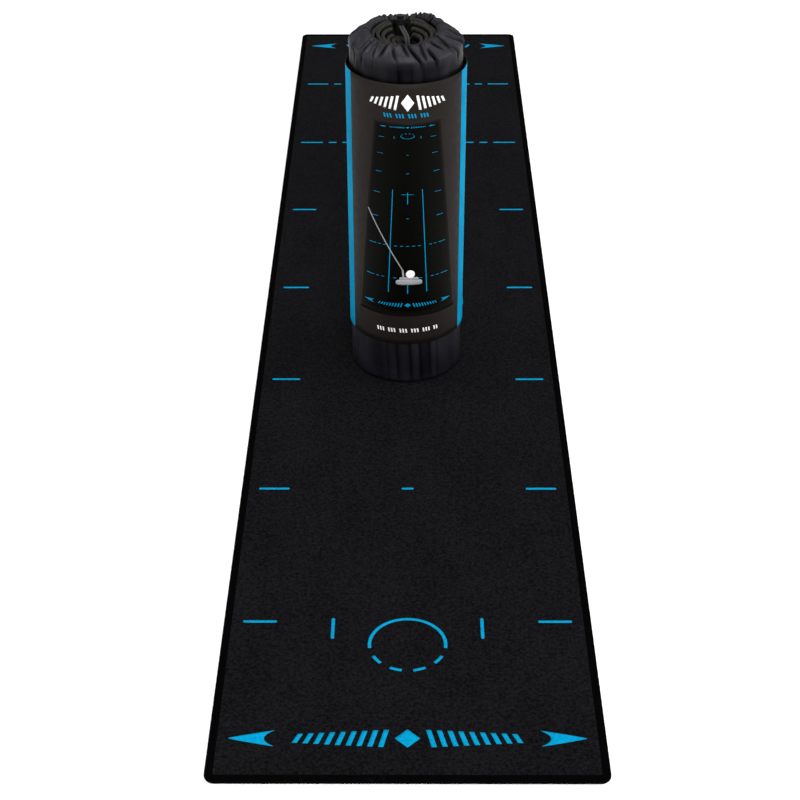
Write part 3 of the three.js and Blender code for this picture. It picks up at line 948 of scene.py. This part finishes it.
# Shares that the folds are shaped with; a ridge's place and width are counted in widths of its tuck.
GATHERS_MEAN = 0.62
RIDGE_PLACE, RIDGE_WIDTH = 2.1, 1.5
MOST_TUCK, MOST_RIDGE = 1.1, 1.2

# Painted light on the cloth: painted shade on its wall, more towards the top, in tucks and between ruffles,
# and a painted highlight on a fold.
WALL_TONE, WALL_TOP_PAINTED_SHADE, FOLD_PAINTED_HIGHLIGHT = 0.62, 0.32, 0.42
TUCK_PAINTED_SHADE, RUFFLE_PAINTED_SHADE = 0.97, 0.45
# Painted shade on the base and over the hem, and a painted highlight where the hem's gathers puff out.
BASE_TONE = 0.8
HEM_TONE, HEM_PAINTED_HIGHLIGHT = 0.35, 0.5

PUCKER_DEPTH = 0.35 * MM


def arc_points(centre, radius, from_angle, to_angle, count):
    """Points on part of a circle."""
    angles = np.linspace(from_angle, to_angle, count)
    return np.stack([centre[0] + radius * np.cos(angles), centre[1] + radius * np.sin(angles)], axis=-1)


def bag_profile():
    """The bag's side view from its foot to its mouth, with few rows where the sleeve hides it.

    Returns (radius, height) points, the length run at each, and the share of the hood passed there.
    """
    foot_centre = (WALL_RADIUS - FOOT_RADIUS, CLOTH / 2 + FOOT_RADIUS)
    foot = arc_points(foot_centre, FOOT_RADIUS, math.radians(-80), 0, 7)
    heights = np.concatenate([
        np.linspace(foot[-1, 1], BEHIND_SLEEVE_LOW, 10)[1:],
        np.linspace(BEHIND_SLEEVE_LOW, BEHIND_SLEEVE_HIGH, 6)[1:],
        np.linspace(BEHIND_SLEEVE_HIGH, SHOULDER_CENTRE[1], 14)[1:-1],
    ])
    wall = np.stack([np.full(len(heights), WALL_RADIUS), heights], axis=-1)
    apart = HEM_CENTRE - SHOULDER_CENTRE
    tangent = math.atan2(-apart[0], apart[1]) + math.asin((SHOULDER_RADIUS - HEM_WRAP) / math.hypot(*apart))
    shoulder = arc_points(SHOULDER_CENTRE, SHOULDER_RADIUS, 0, tangent, 10)
    hem = arc_points(HEM_CENTRE, HEM_WRAP, tangent, math.radians(205), 13)
    rise = np.linspace(0, 1, 24)[1:-1, None]
    hood = shoulder[-1] + (hem[0] - shoulder[-1]) * rise
    profile = np.concatenate([foot, wall, shoulder, hood, hem])
    run = np.append(0, np.cumsum(np.linalg.norm(np.diff(profile, axis=0), axis=1)))
    start = len(foot) + len(wall)
    hood_run = run[start + len(shoulder) + len(hood)] - run[start]
    return profile, run, (run - run[start]) / hood_run


def profile_normals(profile):
    """Unit outward directions along a profile."""
    way = np.gradient(profile, axis=0)
    way /= np.linalg.norm(way, axis=1, keepdims=True)
    return np.stack([way[:, 1], -way[:, 0]], axis=-1)


def gathers(angle, count, seed):
    """Puffs of cloth between creases at irregular angles: 0 in each crease and up to 1 between two."""
    rng = np.random.default_rng(seed)
    creases = (np.arange(count) + rng.uniform(-0.33, 0.33, count)) * FULL_TURN / count
    creases = np.append(creases, creases[0] + FULL_TURN)
    fullness = rng.uniform(0.45, 1.0, count)
    turned = creases[0] + (angle - creases[0]) % FULL_TURN
    gap = np.clip(np.searchsorted(creases, turned, side="right") - 1, 0, count - 1)
    share = (turned - creases[gap]) / (creases[gap + 1] - creases[gap])
    return fullness[gap] * np.abs(4 * share * (1 - share)) ** 0.6


def hood_folds(angle, hood):
    """Tucks where the cloth is drawn together, and the ridge that rolls over beside each one.

    Both go from 0 to about 1. Each tuck has its own place, slant and bow, start and length between the
    shoulder and the mouth, depth and width.
    """
    rng = np.random.default_rng(23)
    tucks, ridges = np.zeros_like(angle), np.zeros_like(angle)
    for index in range(HOOD_CREASES):
        centre = (index + rng.uniform(-0.35, 0.35)) * FULL_TURN / HOOD_CREASES
        slant, bow = rng.uniform(-0.08, 0.24), rng.uniform(-0.12, 0.12)
        start, length = rng.uniform(-0.35, 0.4), rng.uniform(0.6, 1.5)
        depth, width = rng.uniform(0.5, 1.2), rng.uniform(0.018, 0.03)
        short = 1 - np.clip(hood, 0, 1)
        away = turn_from(angle, centre + slant * short + bow * short ** 2) / width
        reach = depth * np.sin(math.pi * np.clip((hood - start) / length, 0, 1)) ** 0.7
        tucks += reach * np.exp(-np.abs(away) ** 1.4)
        ridges += reach * np.exp(-((away - RIDGE_PLACE) / RIDGE_WIDTH) ** 2)
    return np.minimum(tucks, MOST_TUCK), np.minimum(ridges, MOST_RIDGE)


def wall_folds(angle, height):
    """Upright folds of the bag's wall, in millimetres off its profile, and their tone."""
    lean = round_noise(angle, 8, 31, height / (90 * MM))
    cells = angle * WALL_CELLS / FULL_TURN + 0.5 * lean
    soft = smooth_noise(cells / 2, height / (140 * MM), seed=32, around=WALL_CELLS // 2)
    fine = smooth_noise(cells, height / (60 * MM), seed=33, around=WALL_CELLS)
    low = near(angle, 276, 4, 42) * (1 - smooth_step(height, 72 * MM, 125 * MM))
    high = near(angle, 272, 4, 40) * smooth_step(height, BAG_HEIGHT - 80 * MM, BAG_HEIGHT - 30 * MM)
    slant = 0.5 * (height - BAG_HEIGHT) / BAG_HEIGHT
    upright = gathers(angle + 0.05 * lean, LOW_GATHERS, 38) - GATHERS_MEAN
    slanted = gathers(angle + slant + 0.08 * lean, HIGH_GATHERS, 40) - GATHERS_MEAN
    wall = SOFT_DEPTH * soft + FINE_DEPTH * fine + LOW_DEPTH * low * upright + HIGH_DEPTH * high * slanted
    wall = np.clip(wall * smooth_step(height, -4 * MM, 12 * MM), -MOST_IN / MM, MOST_OUT / MM)
    # Painted shade over the wall, more towards the top, lighter on outward folds and darker in inward ones.
    darker = WALL_TOP_PAINTED_SHADE * smooth_step(height, 0.15 * BAG_HEIGHT, 0.9 * BAG_HEIGHT)
    return wall, WALL_TONE - darker + FOLD_PAINTED_HIGHLIGHT * wall / (MOST_OUT / MM)


def hood_relief(angle, hood):
    """The hood's swell, lumps, tucks and ruffles, in millimetres off its profile, and their tone."""
    tucks, ridges = hood_folds(angle, hood)
    lumps = round_noise(angle, HOOD_LUMPS, 39, hood * 1.3)
    on_hood = smooth_step(hood, -0.15, 0.3)
    at_hem = 1 - 0.8 * smooth_step(hood, 0.9, 1.15)
    crumpled = 1 + 0.9 * near(angle, 125, 15, 60)
    ruffles = gathers(angle + 0.02 * lumps, RIM_RUFFLES, 35) * crumpled * smooth_step(hood, 0.6, 1.0)
    swell = HOOD_SWELL * on_hood + LUMP_DEPTH * lumps * on_hood
    relief = (swell + RIDGE_DEPTH * ridges - TUCK_DEPTH * tucks) * at_hem + RUFFLE_DEPTH * ruffles
    # Painted shade in the tucks and between the ruffles by the hem.
    between_ruffles = np.maximum(1 - ruffles, 0) * smooth_step(hood, 0.85, 1.0)
    tone = 1 - TUCK_PAINTED_SHADE * np.minimum(tucks, 1) ** 0.8 - RUFFLE_PAINTED_SHADE * between_ruffles
    return relief, tone


def bag_folds(angle, height, hood):
    """How far the cloth stands off its profile, and its tone: the wall's folds pass into the hood's."""
    wall, wall_tone = wall_folds(angle, height)
    relief, hood_tone = hood_relief(angle, hood)
    share = smooth_step(hood, -0.1, 0.15)
    folds = wall * (1 - share) + relief * smooth_step(hood, -0.35, 0.1)
    return folds * MM, np.clip(wall_tone + (hood_tone - wall_tone) * share, 0, 1)


def bag_grid(offset):
    """Points on the bag's cloth, moved off its middle by offset.

    Returns them with their places in the cloth and their tone.
    """
    profile, run, hood = bag_profile()
    normals = profile_normals(profile)
    angles = np.linspace(0, FULL_TURN, BAG_COLUMNS, endpoint=False)
    row, angle = np.meshgrid(np.arange(len(profile)), angles, indexing="ij")
    folds, tone = bag_folds(angle, profile[row, 1], hood[row])
    stand_off = folds + offset
    to_mouth = smooth_step(hood[row], 0, 1)
    drawn = (mouth_radius(angle) - RING_RADIUS) * to_mouth
    lifted = (mouth_height(angle) - RING_HEIGHT) * to_mouth
    radius = profile[row, 0] + normals[row, 0] * stand_off + drawn
    radius = np.minimum(radius, WALL_RADIUS + MOST_OUT + offset)
    in_mouth = smooth_step(hood[row], 0.3, 1)
    keep = drawn_in(profile[row, 1])
    radius *= keep + (1 - keep) * in_mouth
    height = np.maximum(profile[row, 1] + normals[row, 1] * stand_off + lifted, 0)
    points = stand(np.stack([radius * np.cos(angle), radius * np.sin(angle), height], axis=-1))
    surface = np.stack([angle * WALL_RADIUS, run[row], 0 * angle], axis=-1)
    return points, surface.reshape(-1, 3), tone.ravel()


def build_bag_wall():
    """The bag's side and hood: one sheet of cloth from the foot to the hem."""
    outside, surface, tone = bag_grid(CLOTH / 2)
    inside = bag_grid(-CLOTH / 2)[0]
    piece("bag_cloth", shell(outside, inside), NYLON, "bagged_roll", ("bag_side_wall",),
          np.tile(surface, (2, 1)), np.tile(tone, 2))


def build_bag_base():
    """Round base, slightly puckered towards its seam."""
    first, second = np.meshgrid(np.linspace(-1, 1, 60), np.linspace(-1, 1, 60), indexing="ij")
    x = first * np.sqrt(1 - second ** 2 / 2)
    y = second * np.sqrt(1 - first ** 2 / 2)
    radius = WALL_RADIUS - FOOT_RADIUS - 0.5 * MM
    reach = np.hypot(x, y)
    puckers = round_noise(np.arctan2(y, x), BASE_PUCKERS, 41, 3 * reach)
    low = np.maximum(PUCKER_DEPTH * smooth_step(reach, 0.6, 1) * puckers, 0)
    upper = np.stack([radius * x, radius * y, low + CLOTH], axis=-1)
    lower = np.stack([radius * x, radius * y, low], axis=-1)
    surface = np.concatenate([upper.reshape(-1, 3), lower.reshape(-1, 3)])
    solid = slab(stand(upper), stand(lower))
    # An even painted shade over the base.
    tone = np.full(len(surface), BASE_TONE)
    piece("bag_base_cloth", solid, NYLON, "bagged_roll", ("bag_base_panel",), surface, tone)


def build_hem():
    """The gathered tunnel round the mouth, open at the back where the cord comes out."""
    span = FULL_TURN - 2 * RING_HALF_GAP
    along = EXIT_ANGLE + RING_HALF_GAP + np.linspace(0, span, 620)
    round_angles = np.linspace(0, FULL_TURN, 20, endpoint=False)
    angle, swing = np.meshgrid(along, round_angles, indexing="ij")
    ruffle = gathers(angle + 0.03 * np.sin(2 * swing), HEM_GATHERS, 51)
    puff = 0.75 + 0.2 * ruffle + 0.05 * round_noise(angle, HEM_PUFFS, 52, swing)

    def tube(radius):
        out = mouth_radius(angle) + radius * np.cos(swing)
        up = mouth_height(angle) + radius * np.sin(swing)
        return stand(np.stack([out * np.cos(angle), out * np.sin(angle), up], axis=-1))

    surface = np.stack([angle * RING_RADIUS, swing * HEM_TUBE, 0 * angle], axis=-1).reshape(-1, 3)
    solid = shell(tube(HEM_TUBE * puff), tube(np.full_like(puff, CORD_RADIUS + 0.15 * MM)))
    # Painted shade over the hem, with a painted highlight where its gathers puff out.
    piece("bag_hem", solid, NYLON, "bagged_roll", ("bag_drawstring_channel",),
          np.tile(surface, (2, 1)), np.tile(HEM_TONE + HEM_PAINTED_HIGHLIGHT * ruffle.ravel(), 2))


build_bag_wall()
build_bag_base()
build_hem()


# ---------- drawstring ----------

CORD_STEP = 0.55 * MM
BRAID_PITCH = 5 * MM
BRAID_LOW, BRAID_RISE = 0.93, 0.07


def drawstring_path():
    """The cord's middle line in the mouth's frame, with +y to the exit.

    It goes up one tail, round the mouth, and down the other tail.
    """
    fillet_x = CORD_HALF_SPACING + CORD_FILLET
    fillet_y = math.sqrt((RING_RADIUS - CORD_FILLET) ** 2 - fillet_x ** 2)
    meet = math.atan2(fillet_y, fillet_x)

    def flat_arc(x, y, radius, start, end, count):
        angle = np.linspace(start, end, count)
        return np.stack([x + radius * np.cos(angle), y + radius * np.sin(angle), 0 * angle], axis=-1)

    def tail(side, length):
        drop = np.linspace(length, 0, 40)[:-1, None]
        down = np.array([side * CORD_HALF_SPACING, -CORD_BEND, -CORD_BEND]) - drop * np.array([0, 0, 1])
        swing = np.linspace(0, math.pi / 2, 14)
        bend = np.stack([0 * swing + side * CORD_HALF_SPACING, -CORD_BEND * np.cos(swing),
                         CORD_BEND * (np.sin(swing) - 1)], axis=-1)
        straight = np.linspace(0, fillet_y, 40)[1:-1, None] * np.array([0, 1, 0]) + bend[-1]
        return np.concatenate([down, bend, straight])

    near_fillet = flat_arc(fillet_x, fillet_y, CORD_FILLET, math.pi, meet, 10)
    loop = flat_arc(0, 0, RING_RADIUS, meet, -math.pi - meet, 260)[1:-1]
    far_fillet = flat_arc(-fillet_x, fillet_y, CORD_FILLET, math.pi - meet, 0, 10)
    first, last = tail(1, CORD_TAILS[0]), tail(-1, CORD_TAILS[1])[::-1]
    return np.concatenate([first, near_fillet, loop, far_fillet, last])


def even_path(path, step):
    """The same path with its points an even step apart."""
    run = np.append(0, np.cumsum(np.linalg.norm(np.diff(path, axis=0), axis=1)))
    even = np.linspace(0, run[-1], round(run[-1] / step))
    return even, np.stack([np.interp(even, run, path[:, k]) for k in range(3)], axis=-1)


def build_drawstring():
    """Braided cord: crossing strands raise a fine diamond pattern."""
    run, path = even_path(drawstring_path(), CORD_STEP)
    turn = Matrix.Rotation(EXIT_ANGLE - math.pi / 2, 3, "Z")
    path = path @ np.array(turn).T + np.array([0, 0, RING_HEIGHT])
    in_tunnel = np.hypot(path[:, 0], path[:, 1]) > RING_RADIUS - 0.01 * MM
    round_mouth = np.arctan2(path[:, 1], path[:, 0])
    path[:, :2] *= np.where(in_tunnel, mouth_radius(round_mouth) / RING_RADIUS, 1)[:, None]
    past_lock = smooth_step(np.hypot(path[:, 0], path[:, 1]), 48 * MM, RING_RADIUS - 3 * MM)
    path[:, 2] += (mouth_height(round_mouth) - RING_HEIGHT) * past_lock
    way = np.gradient(path, axis=0)
    way /= np.linalg.norm(way, axis=1, keepdims=True)
    across = np.cross(way, [0, 0, 1])
    exit_side = np.array([math.sin(EXIT_ANGLE), -math.cos(EXIT_ANGLE), 0])
    upright = np.linalg.norm(across, axis=1) < 0.7
    across = np.where(upright[:, None], exit_side * np.sign(across @ exit_side)[:, None], across)
    across[np.linalg.norm(across, axis=1) < 1e-6] = exit_side
    across -= way * np.einsum("ij,ij->i", across, way)[:, None]
    across /= np.linalg.norm(across, axis=1, keepdims=True)
    lift = np.cross(across, way)
    angle = np.linspace(0, FULL_TURN, 16, endpoint=False)
    strands = run[:, None] * FULL_TURN / BRAID_PITCH
    braid = np.maximum(np.cos(4 * angle + strands), np.cos(4 * angle - strands))
    radius = CORD_RADIUS * (BRAID_LOW + BRAID_RISE * braid)
    sections = path[:, None] + radius[..., None] * (
        np.cos(angle)[:, None] * across[:, None] + np.sin(angle)[:, None] * lift[:, None]
    )
    points, faces = rod(stand(sections))
    along, around = np.meshgrid(run, angle * CORD_RADIUS, indexing="ij")
    surface = np.stack([along, around, 0 * along], axis=-1).reshape(-1, 3)
    surface = np.concatenate([surface, surface[:1], surface[-1:]])
    piece("drawstring_braid", (points, faces), CORD, "bagged_roll", ("drawstring_cord",), surface)


build_drawstring()


# ---------- moulded and metal parts: the CAD solids, with softened edges ----------


def finish_node(name, material, bevel=0.0):
    """Gives a CAD node its material, and rounds its sharp edges."""
    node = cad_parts[name]
    node.data.materials.clear()
    node.data.materials.append(material)
    if bevel:
        modifier = node.modifiers.new("soft_edges", "BEVEL")
        modifier.width = bevel
        modifier.segments = 3
        modifier.limit_method = "ANGLE"
        modifier.angle_limit = math.radians(40)


finish_node("cord_lock_barrel", LOCK_PLASTIC, 0.5 * MM)
finish_node("cord_lock_plunger", LOCK_PLASTIC, 0.5 * MM)
finish_node("cord_tip_1", TIP_PLASTIC)
finish_node("cord_tip_2", TIP_PLASTIC)


def build_spring():
    """The lock's spring: its end turns lie flatter."""
    low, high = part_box("cord_lock_spring")
    wire = SPRING_WIRE * BAGGED_SIZE
    radius = (high.x - low.x) / 2 - wire
    share = np.linspace(0, 1, 80 * SPRING_COILS)
    angle = SPRING_COILS * FULL_TURN * share
    climb = share - 0.8 * np.sin(FULL_TURN * share) / FULL_TURN
    out = np.stack([np.cos(angle), np.sin(angle), 0 * angle], axis=-1)
    centre = np.array([(low.x + high.x) / 2, (low.y + high.y) / 2, low.z + wire])
    path = centre + radius * out + (high.z - low.z - 2 * wire) * climb[:, None] * np.array([0, 0, 1])
    swing = np.linspace(0, FULL_TURN, 12, endpoint=False)[:, None]
    sections = path[:, None] + wire * (np.cos(swing) * out[:, None] + np.sin(swing) * np.array([0, 0, 1]))
    made = piece("lock_spring", rod(sections), STEEL, "cord_lock", ("cord_lock_spring",))
    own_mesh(made)


build_spring()


# ---------- printed sleeve ----------

SLEEVE_LAP, GLUE = 13 * MM, 0.06 * MM


def on_sleeve(points):
    """Puts (run round from the front, height above the sleeve's foot, depth off its face) on the sleeve."""
    run, up, off = points[..., 0], points[..., 1], points[..., 2]
    radius = SLEEVE_RADIUS + off
    angle = -math.pi / 2 + run / SLEEVE_RADIUS
    return stand(np.stack([radius * np.cos(angle), radius * np.sin(angle), SLEEVE_FOOT + up], axis=-1))


def card_relief(run, up):
    """Small dents in the card; it springs back to a tube elsewhere."""
    return 0.12 * MM * smooth_noise(run / (38 * MM) + 32, up / (75 * MM), seed=61)


def build_sleeve():
    """Card wrapped once round the bag, its end glued over its start at the back."""
    half_round = math.pi * SLEEVE_RADIUS
    across = np.linspace(-half_round, half_round + SLEEVE_LAP, 300)
    run, up = np.meshgrid(across, np.linspace(0, SLEEVE_HEIGHT, 44), indexing="ij")
    climb = (SLEEVE_WALL + GLUE) * smooth_step(run, half_round - 9 * MM, half_round - 0.5 * MM)
    off = climb + card_relief(run, up) * (1 - smooth_step(np.abs(run), 0.75 * half_round, 0.9 * half_round))
    outside = np.stack([run, up, off], axis=-1)
    inside = np.stack([run, up, off - SLEEVE_WALL], axis=-1)
    surface = np.concatenate([outside.reshape(-1, 3), inside.reshape(-1, 3)])
    solid = slab(on_sleeve(outside), on_sleeve(inside))
    piece("sleeve_wrap", solid, CARD, "sleeve", ("printed_sleeve",), surface)


PRINT_SHIFT = 2 * MM
PRINT_CELL = 4 * MM, 9 * MM
STRIPE_INNER, STRIPE_OUTER, STRIPE_END = 95 * MM, 136 * MM, 0.6 * MM
PANEL_LOW, PANEL_HIGH = 47 * MM, 353 * MM
PANEL_HALF_LOW, PANEL_HALF_HIGH = 80 * MM, 49 * MM
PICTURE_SCALE, EYE_BEHIND = 0.224, 4.11
HORIZON, EYE_ABOVE = 0.7174, 0.4729


def ink(name, grids, material, lift=INK_LIFT, shift=PRINT_SHIFT):
    """A layer of print on the sleeve's face; all but the stripes is a little off its middle."""
    solid, surface = raised(
        [fine_grid(grid) + np.array([shift, 0]) for grid in grids],
        on_sleeve,
        lambda run, up: card_relief(run, up) - 0.05 * MM,
        lambda run, up: card_relief(run, up) + lift,
    )
    return piece(f"print_{name}", solid, material, "sleeve", surface=surface)


def too_coarse(grid, axis):
    """Whether the grid's points are further apart along this axis than a cell of print may be."""
    return np.any(np.abs(np.diff(grid, axis=axis)) > PRINT_CELL)


def fine_grid(grid):
    """The grid, split until its cells follow the sleeve's curve and dents."""
    while too_coarse(grid, 0):
        grid = halve(grid)
    while too_coarse(grid, 1):
        grid = halve(grid.transpose(1, 0, 2)).transpose(1, 0, 2)
    return grid


def halve(grid):
    """The grid with a new row of points between every two rows."""
    finer = np.empty((2 * len(grid) - 1, *grid.shape[1:]))
    finer[::2] = grid
    finer[1::2] = (grid[:-1] + grid[1:]) / 2
    return finer


def seen_from_ball_end(grid):
    """The mat's markings in perspective, as the picture on the sleeve shows them."""
    x, y = grid[..., 0], grid[..., 1]
    distance = 1 - y / EYE_BEHIND
    return np.stack([PICTURE_SCALE * x / distance, HORIZON - EYE_ABOVE / distance], axis=-1)


def picture_panel():
    """The dark panel behind the picture, wider at its foot."""
    side, rise = np.meshgrid(np.linspace(-1, 1, 41), np.linspace(0, 1, 61), indexing="ij")
    half = PANEL_HALF_LOW + (PANEL_HALF_HIGH - PANEL_HALF_LOW) * rise
    return np.stack([side * half, PANEL_LOW + (PANEL_HIGH - PANEL_LOW) * rise], axis=-1)


def build_panel():
    """The picture's dark background, with how far each point is from its border kept for the fade."""
    panel = ink("panel", [picture_panel()], INK_BLACK, 0.03 * MM)
    surface = np.zeros(3 * len(panel.data.vertices), np.float32)
    panel.data.attributes["surface"].data.foreach_get("vector", surface)
    run, up = surface[0::3] - PRINT_SHIFT, surface[1::3]
    half = np.interp(up, (PANEL_LOW, PANEL_HIGH), (PANEL_HALF_LOW, PANEL_HALF_HIGH))
    share = smooth_step(half - np.abs(run), 0, 7 * MM) * smooth_step(up, PANEL_LOW, PANEL_LOW + 8 * MM)
    share *= 1 - smooth_step(up, PANEL_HIGH - 4 * MM, PANEL_HIGH)
    tone = panel.data.attributes.new("tone", "FLOAT", "POINT")
    tone.data.foreach_set("value", share.astype(np.float32))


def row_of_bars(y, half_width, height, count, slant):
    """Evenly spaced slanted bars, with every fourth one left out: a generic row in place of words."""
    places = np.linspace(-half_width, half_width, count)
    width = 0.55 * 2 * half_width / count
    return [bar_grid(x, y, width, height, slant) for index, x in enumerate(places) if index % 4 != 3]


def putter():
    """A putter and its shaft, standing at the ball in the picture."""
    shaft = line_grid((-60 * MM, 216 * MM), (-7 * MM, 124 * MM), width=1.6 * MM)
    neck = line_grid((-7 * MM, 125 * MM), (-6 * MM, 110 * MM), width=2.6 * MM)
    head = line_grid((-17.5 * MM, 104 * MM), (21.5 * MM, 104 * MM), width=8 * MM)
    back = line_grid((-12 * MM, 110 * MM), (16 * MM, 110 * MM), width=5 * MM)
    return [shaft, neck, head, back]


def sleeve_emblem():
    """A generic mark for the top of the sleeve: bars that shrink away from a diamond."""
    y = 382 * MM
    grids = [diamond_grid(0, y, 9 * MM, 12.5 * MM)]
    for index in range(6):
        x = (15.5 + 7.2 * index) * MM
        grids += both_sides(bar_grid(x, y, 3.6 * MM, (21 - 2.6 * index) * MM, -4 * MM))
    return grids


def build_sleeve_print():
    """Everything printed on the sleeve: the stripes at its sides, the picture, and the plain marks."""
    build_panel()
    stripes = []
    for side in (-1, 1):
        low, high = side * STRIPE_INNER, side * STRIPE_OUTER
        middle, width = (low + high) / 2, abs(high - low)
        stripe = line_grid((middle, STRIPE_END), (middle, SLEEVE_HEIGHT - STRIPE_END), width, ends="square")
        stripes.append(stripe)
    ink("stripes", stripes, INK_BLUE, shift=0)
    markings = [seen_from_ball_end(grid) for grids in MAT_MARKINGS.values() for grid in grids]
    ink("picture", markings, INK_BLUE)
    ink("emblem", sleeve_emblem(), INK_WHITE)
    ink("emblem_row", row_of_bars(363 * MM, 32 * MM, 6 * MM, 16, -1.5 * MM), INK_BLUE)
    ink("foot_row", row_of_bars(22.6 * MM, 45 * MM, 6.5 * MM, 22, -1 * MM), INK_WHITE)
    ink("putter", putter(), INK_GREY, 0.14 * MM)
    ink("ball", [disc_grid(4 * MM, 117.5 * MM, 6.4 * MM)], INK_WHITE, 0.18 * MM)


build_sleeve()
build_sleeve_print()


# ---------- studio ----------


def studio_floor():
    """A plain pale floor, well past the edges of the picture."""
    half = 60.0
    mesh = bpy.data.meshes.new("studio_floor")
    corners = [(-half, -half, 0), (half, -half, 0), (half, half, 0), (-half, half, 0)]
    mesh.from_pydata(corners, [], [(0, 1, 2, 3)])
    finish = Finish("studio_floor", roughness=0.9, specular=0.1)
    finish.colour(finish.mix(finish.noise(0.8), (0.9, 0.9, 0.9, 1), (0.92, 0.92, 0.92, 1)))
    mesh.materials.append(finish.material)
    floor = bpy.data.objects.new("studio_floor", mesh)
    floor.location.z = -0.3 * MM
    bpy.context.scene.collection.objects.link(floor)


def soft_light(name, place, target, size, power):
    """A large soft light at place, aimed at target."""
    data = bpy.data.lights.new(name, "AREA")
    data.shape = "DISK"
    data.size = size
    data.energy = power
    light = bpy.data.objects.new(name, data)
    light.location = place
    light.rotation_euler = (Vector(target) - Vector(place)).to_track_quat("-Z", "Y").to_euler()
    bpy.context.scene.collection.objects.link(light)


def top_light():
    """Broad even light from overhead, the same all over the floor."""
    data = bpy.data.lights.new("top_light", "SUN")
    data.energy = 1.95
    data.angle = math.radians(36)
    light = bpy.data.objects.new("top_light", data)
    light.rotation_euler = (math.radians(6), math.radians(5), 0)
    bpy.context.scene.collection.objects.link(light)


def surroundings():
    """White to look at, and a softer white as a light."""
    world = bpy.data.worlds.new("studio")
    world.use_nodes = True
    nodes, links = world.node_tree.nodes, world.node_tree.links
    strength = nodes.new("ShaderNodeMix")
    links.new(nodes.new("ShaderNodeLightPath").outputs["Is Camera Ray"], strength.inputs["Factor"])
    strength.inputs["A"].default_value = 0.42
    strength.inputs["B"].default_value = 1.0
    nodes["Background"].inputs["Color"].default_value = (1, 1, 1, 1)
    links.new(strength.outputs["Result"], nodes["Background"].inputs["Strength"])
    bpy.context.scene.world = world


def studio_light():
    """Pale surroundings, light from overhead, and three large soft lights."""
    surroundings()
    top_light()
    soft_light("front_light", (0.6, -4.6, 3.4), (0, 0, 0.3), 1.8, 170)
    soft_light("right_light", (4.6, -0.4, 2.2), (0, 0, 0.3), 2.0, 85)
    soft_light("left_light", (-4.8, 0.2, 2.0), (0, 0, 0.3), 2.0, 45)


def camera():
    """Above the near end, looking down along the mat, as the photographer did."""
    data = bpy.data.cameras.new("camera")
    data.sensor_width = 36
    data.lens = 77.66
    data.clip_end = 100
    made = bpy.data.objects.new("camera", data)
    made.location = (1.0 * MM, -2689 * MM, 1558.6 * MM)
    yaw, tilt, roll = math.radians(0.334), math.radians(90 - 33.74), math.radians(-0.17)
    turn = Matrix.Rotation(yaw, 4, "Z") @ Matrix.Rotation(tilt, 4, "X") @ Matrix.Rotation(roll, 4, "Z")
    made.rotation_euler = turn.to_euler()
    bpy.context.scene.collection.objects.link(made)
    bpy.context.scene.camera = made


studio_floor()
studio_light()
camera()
bpy.context.scene.view_settings.view_transform = "Standard"
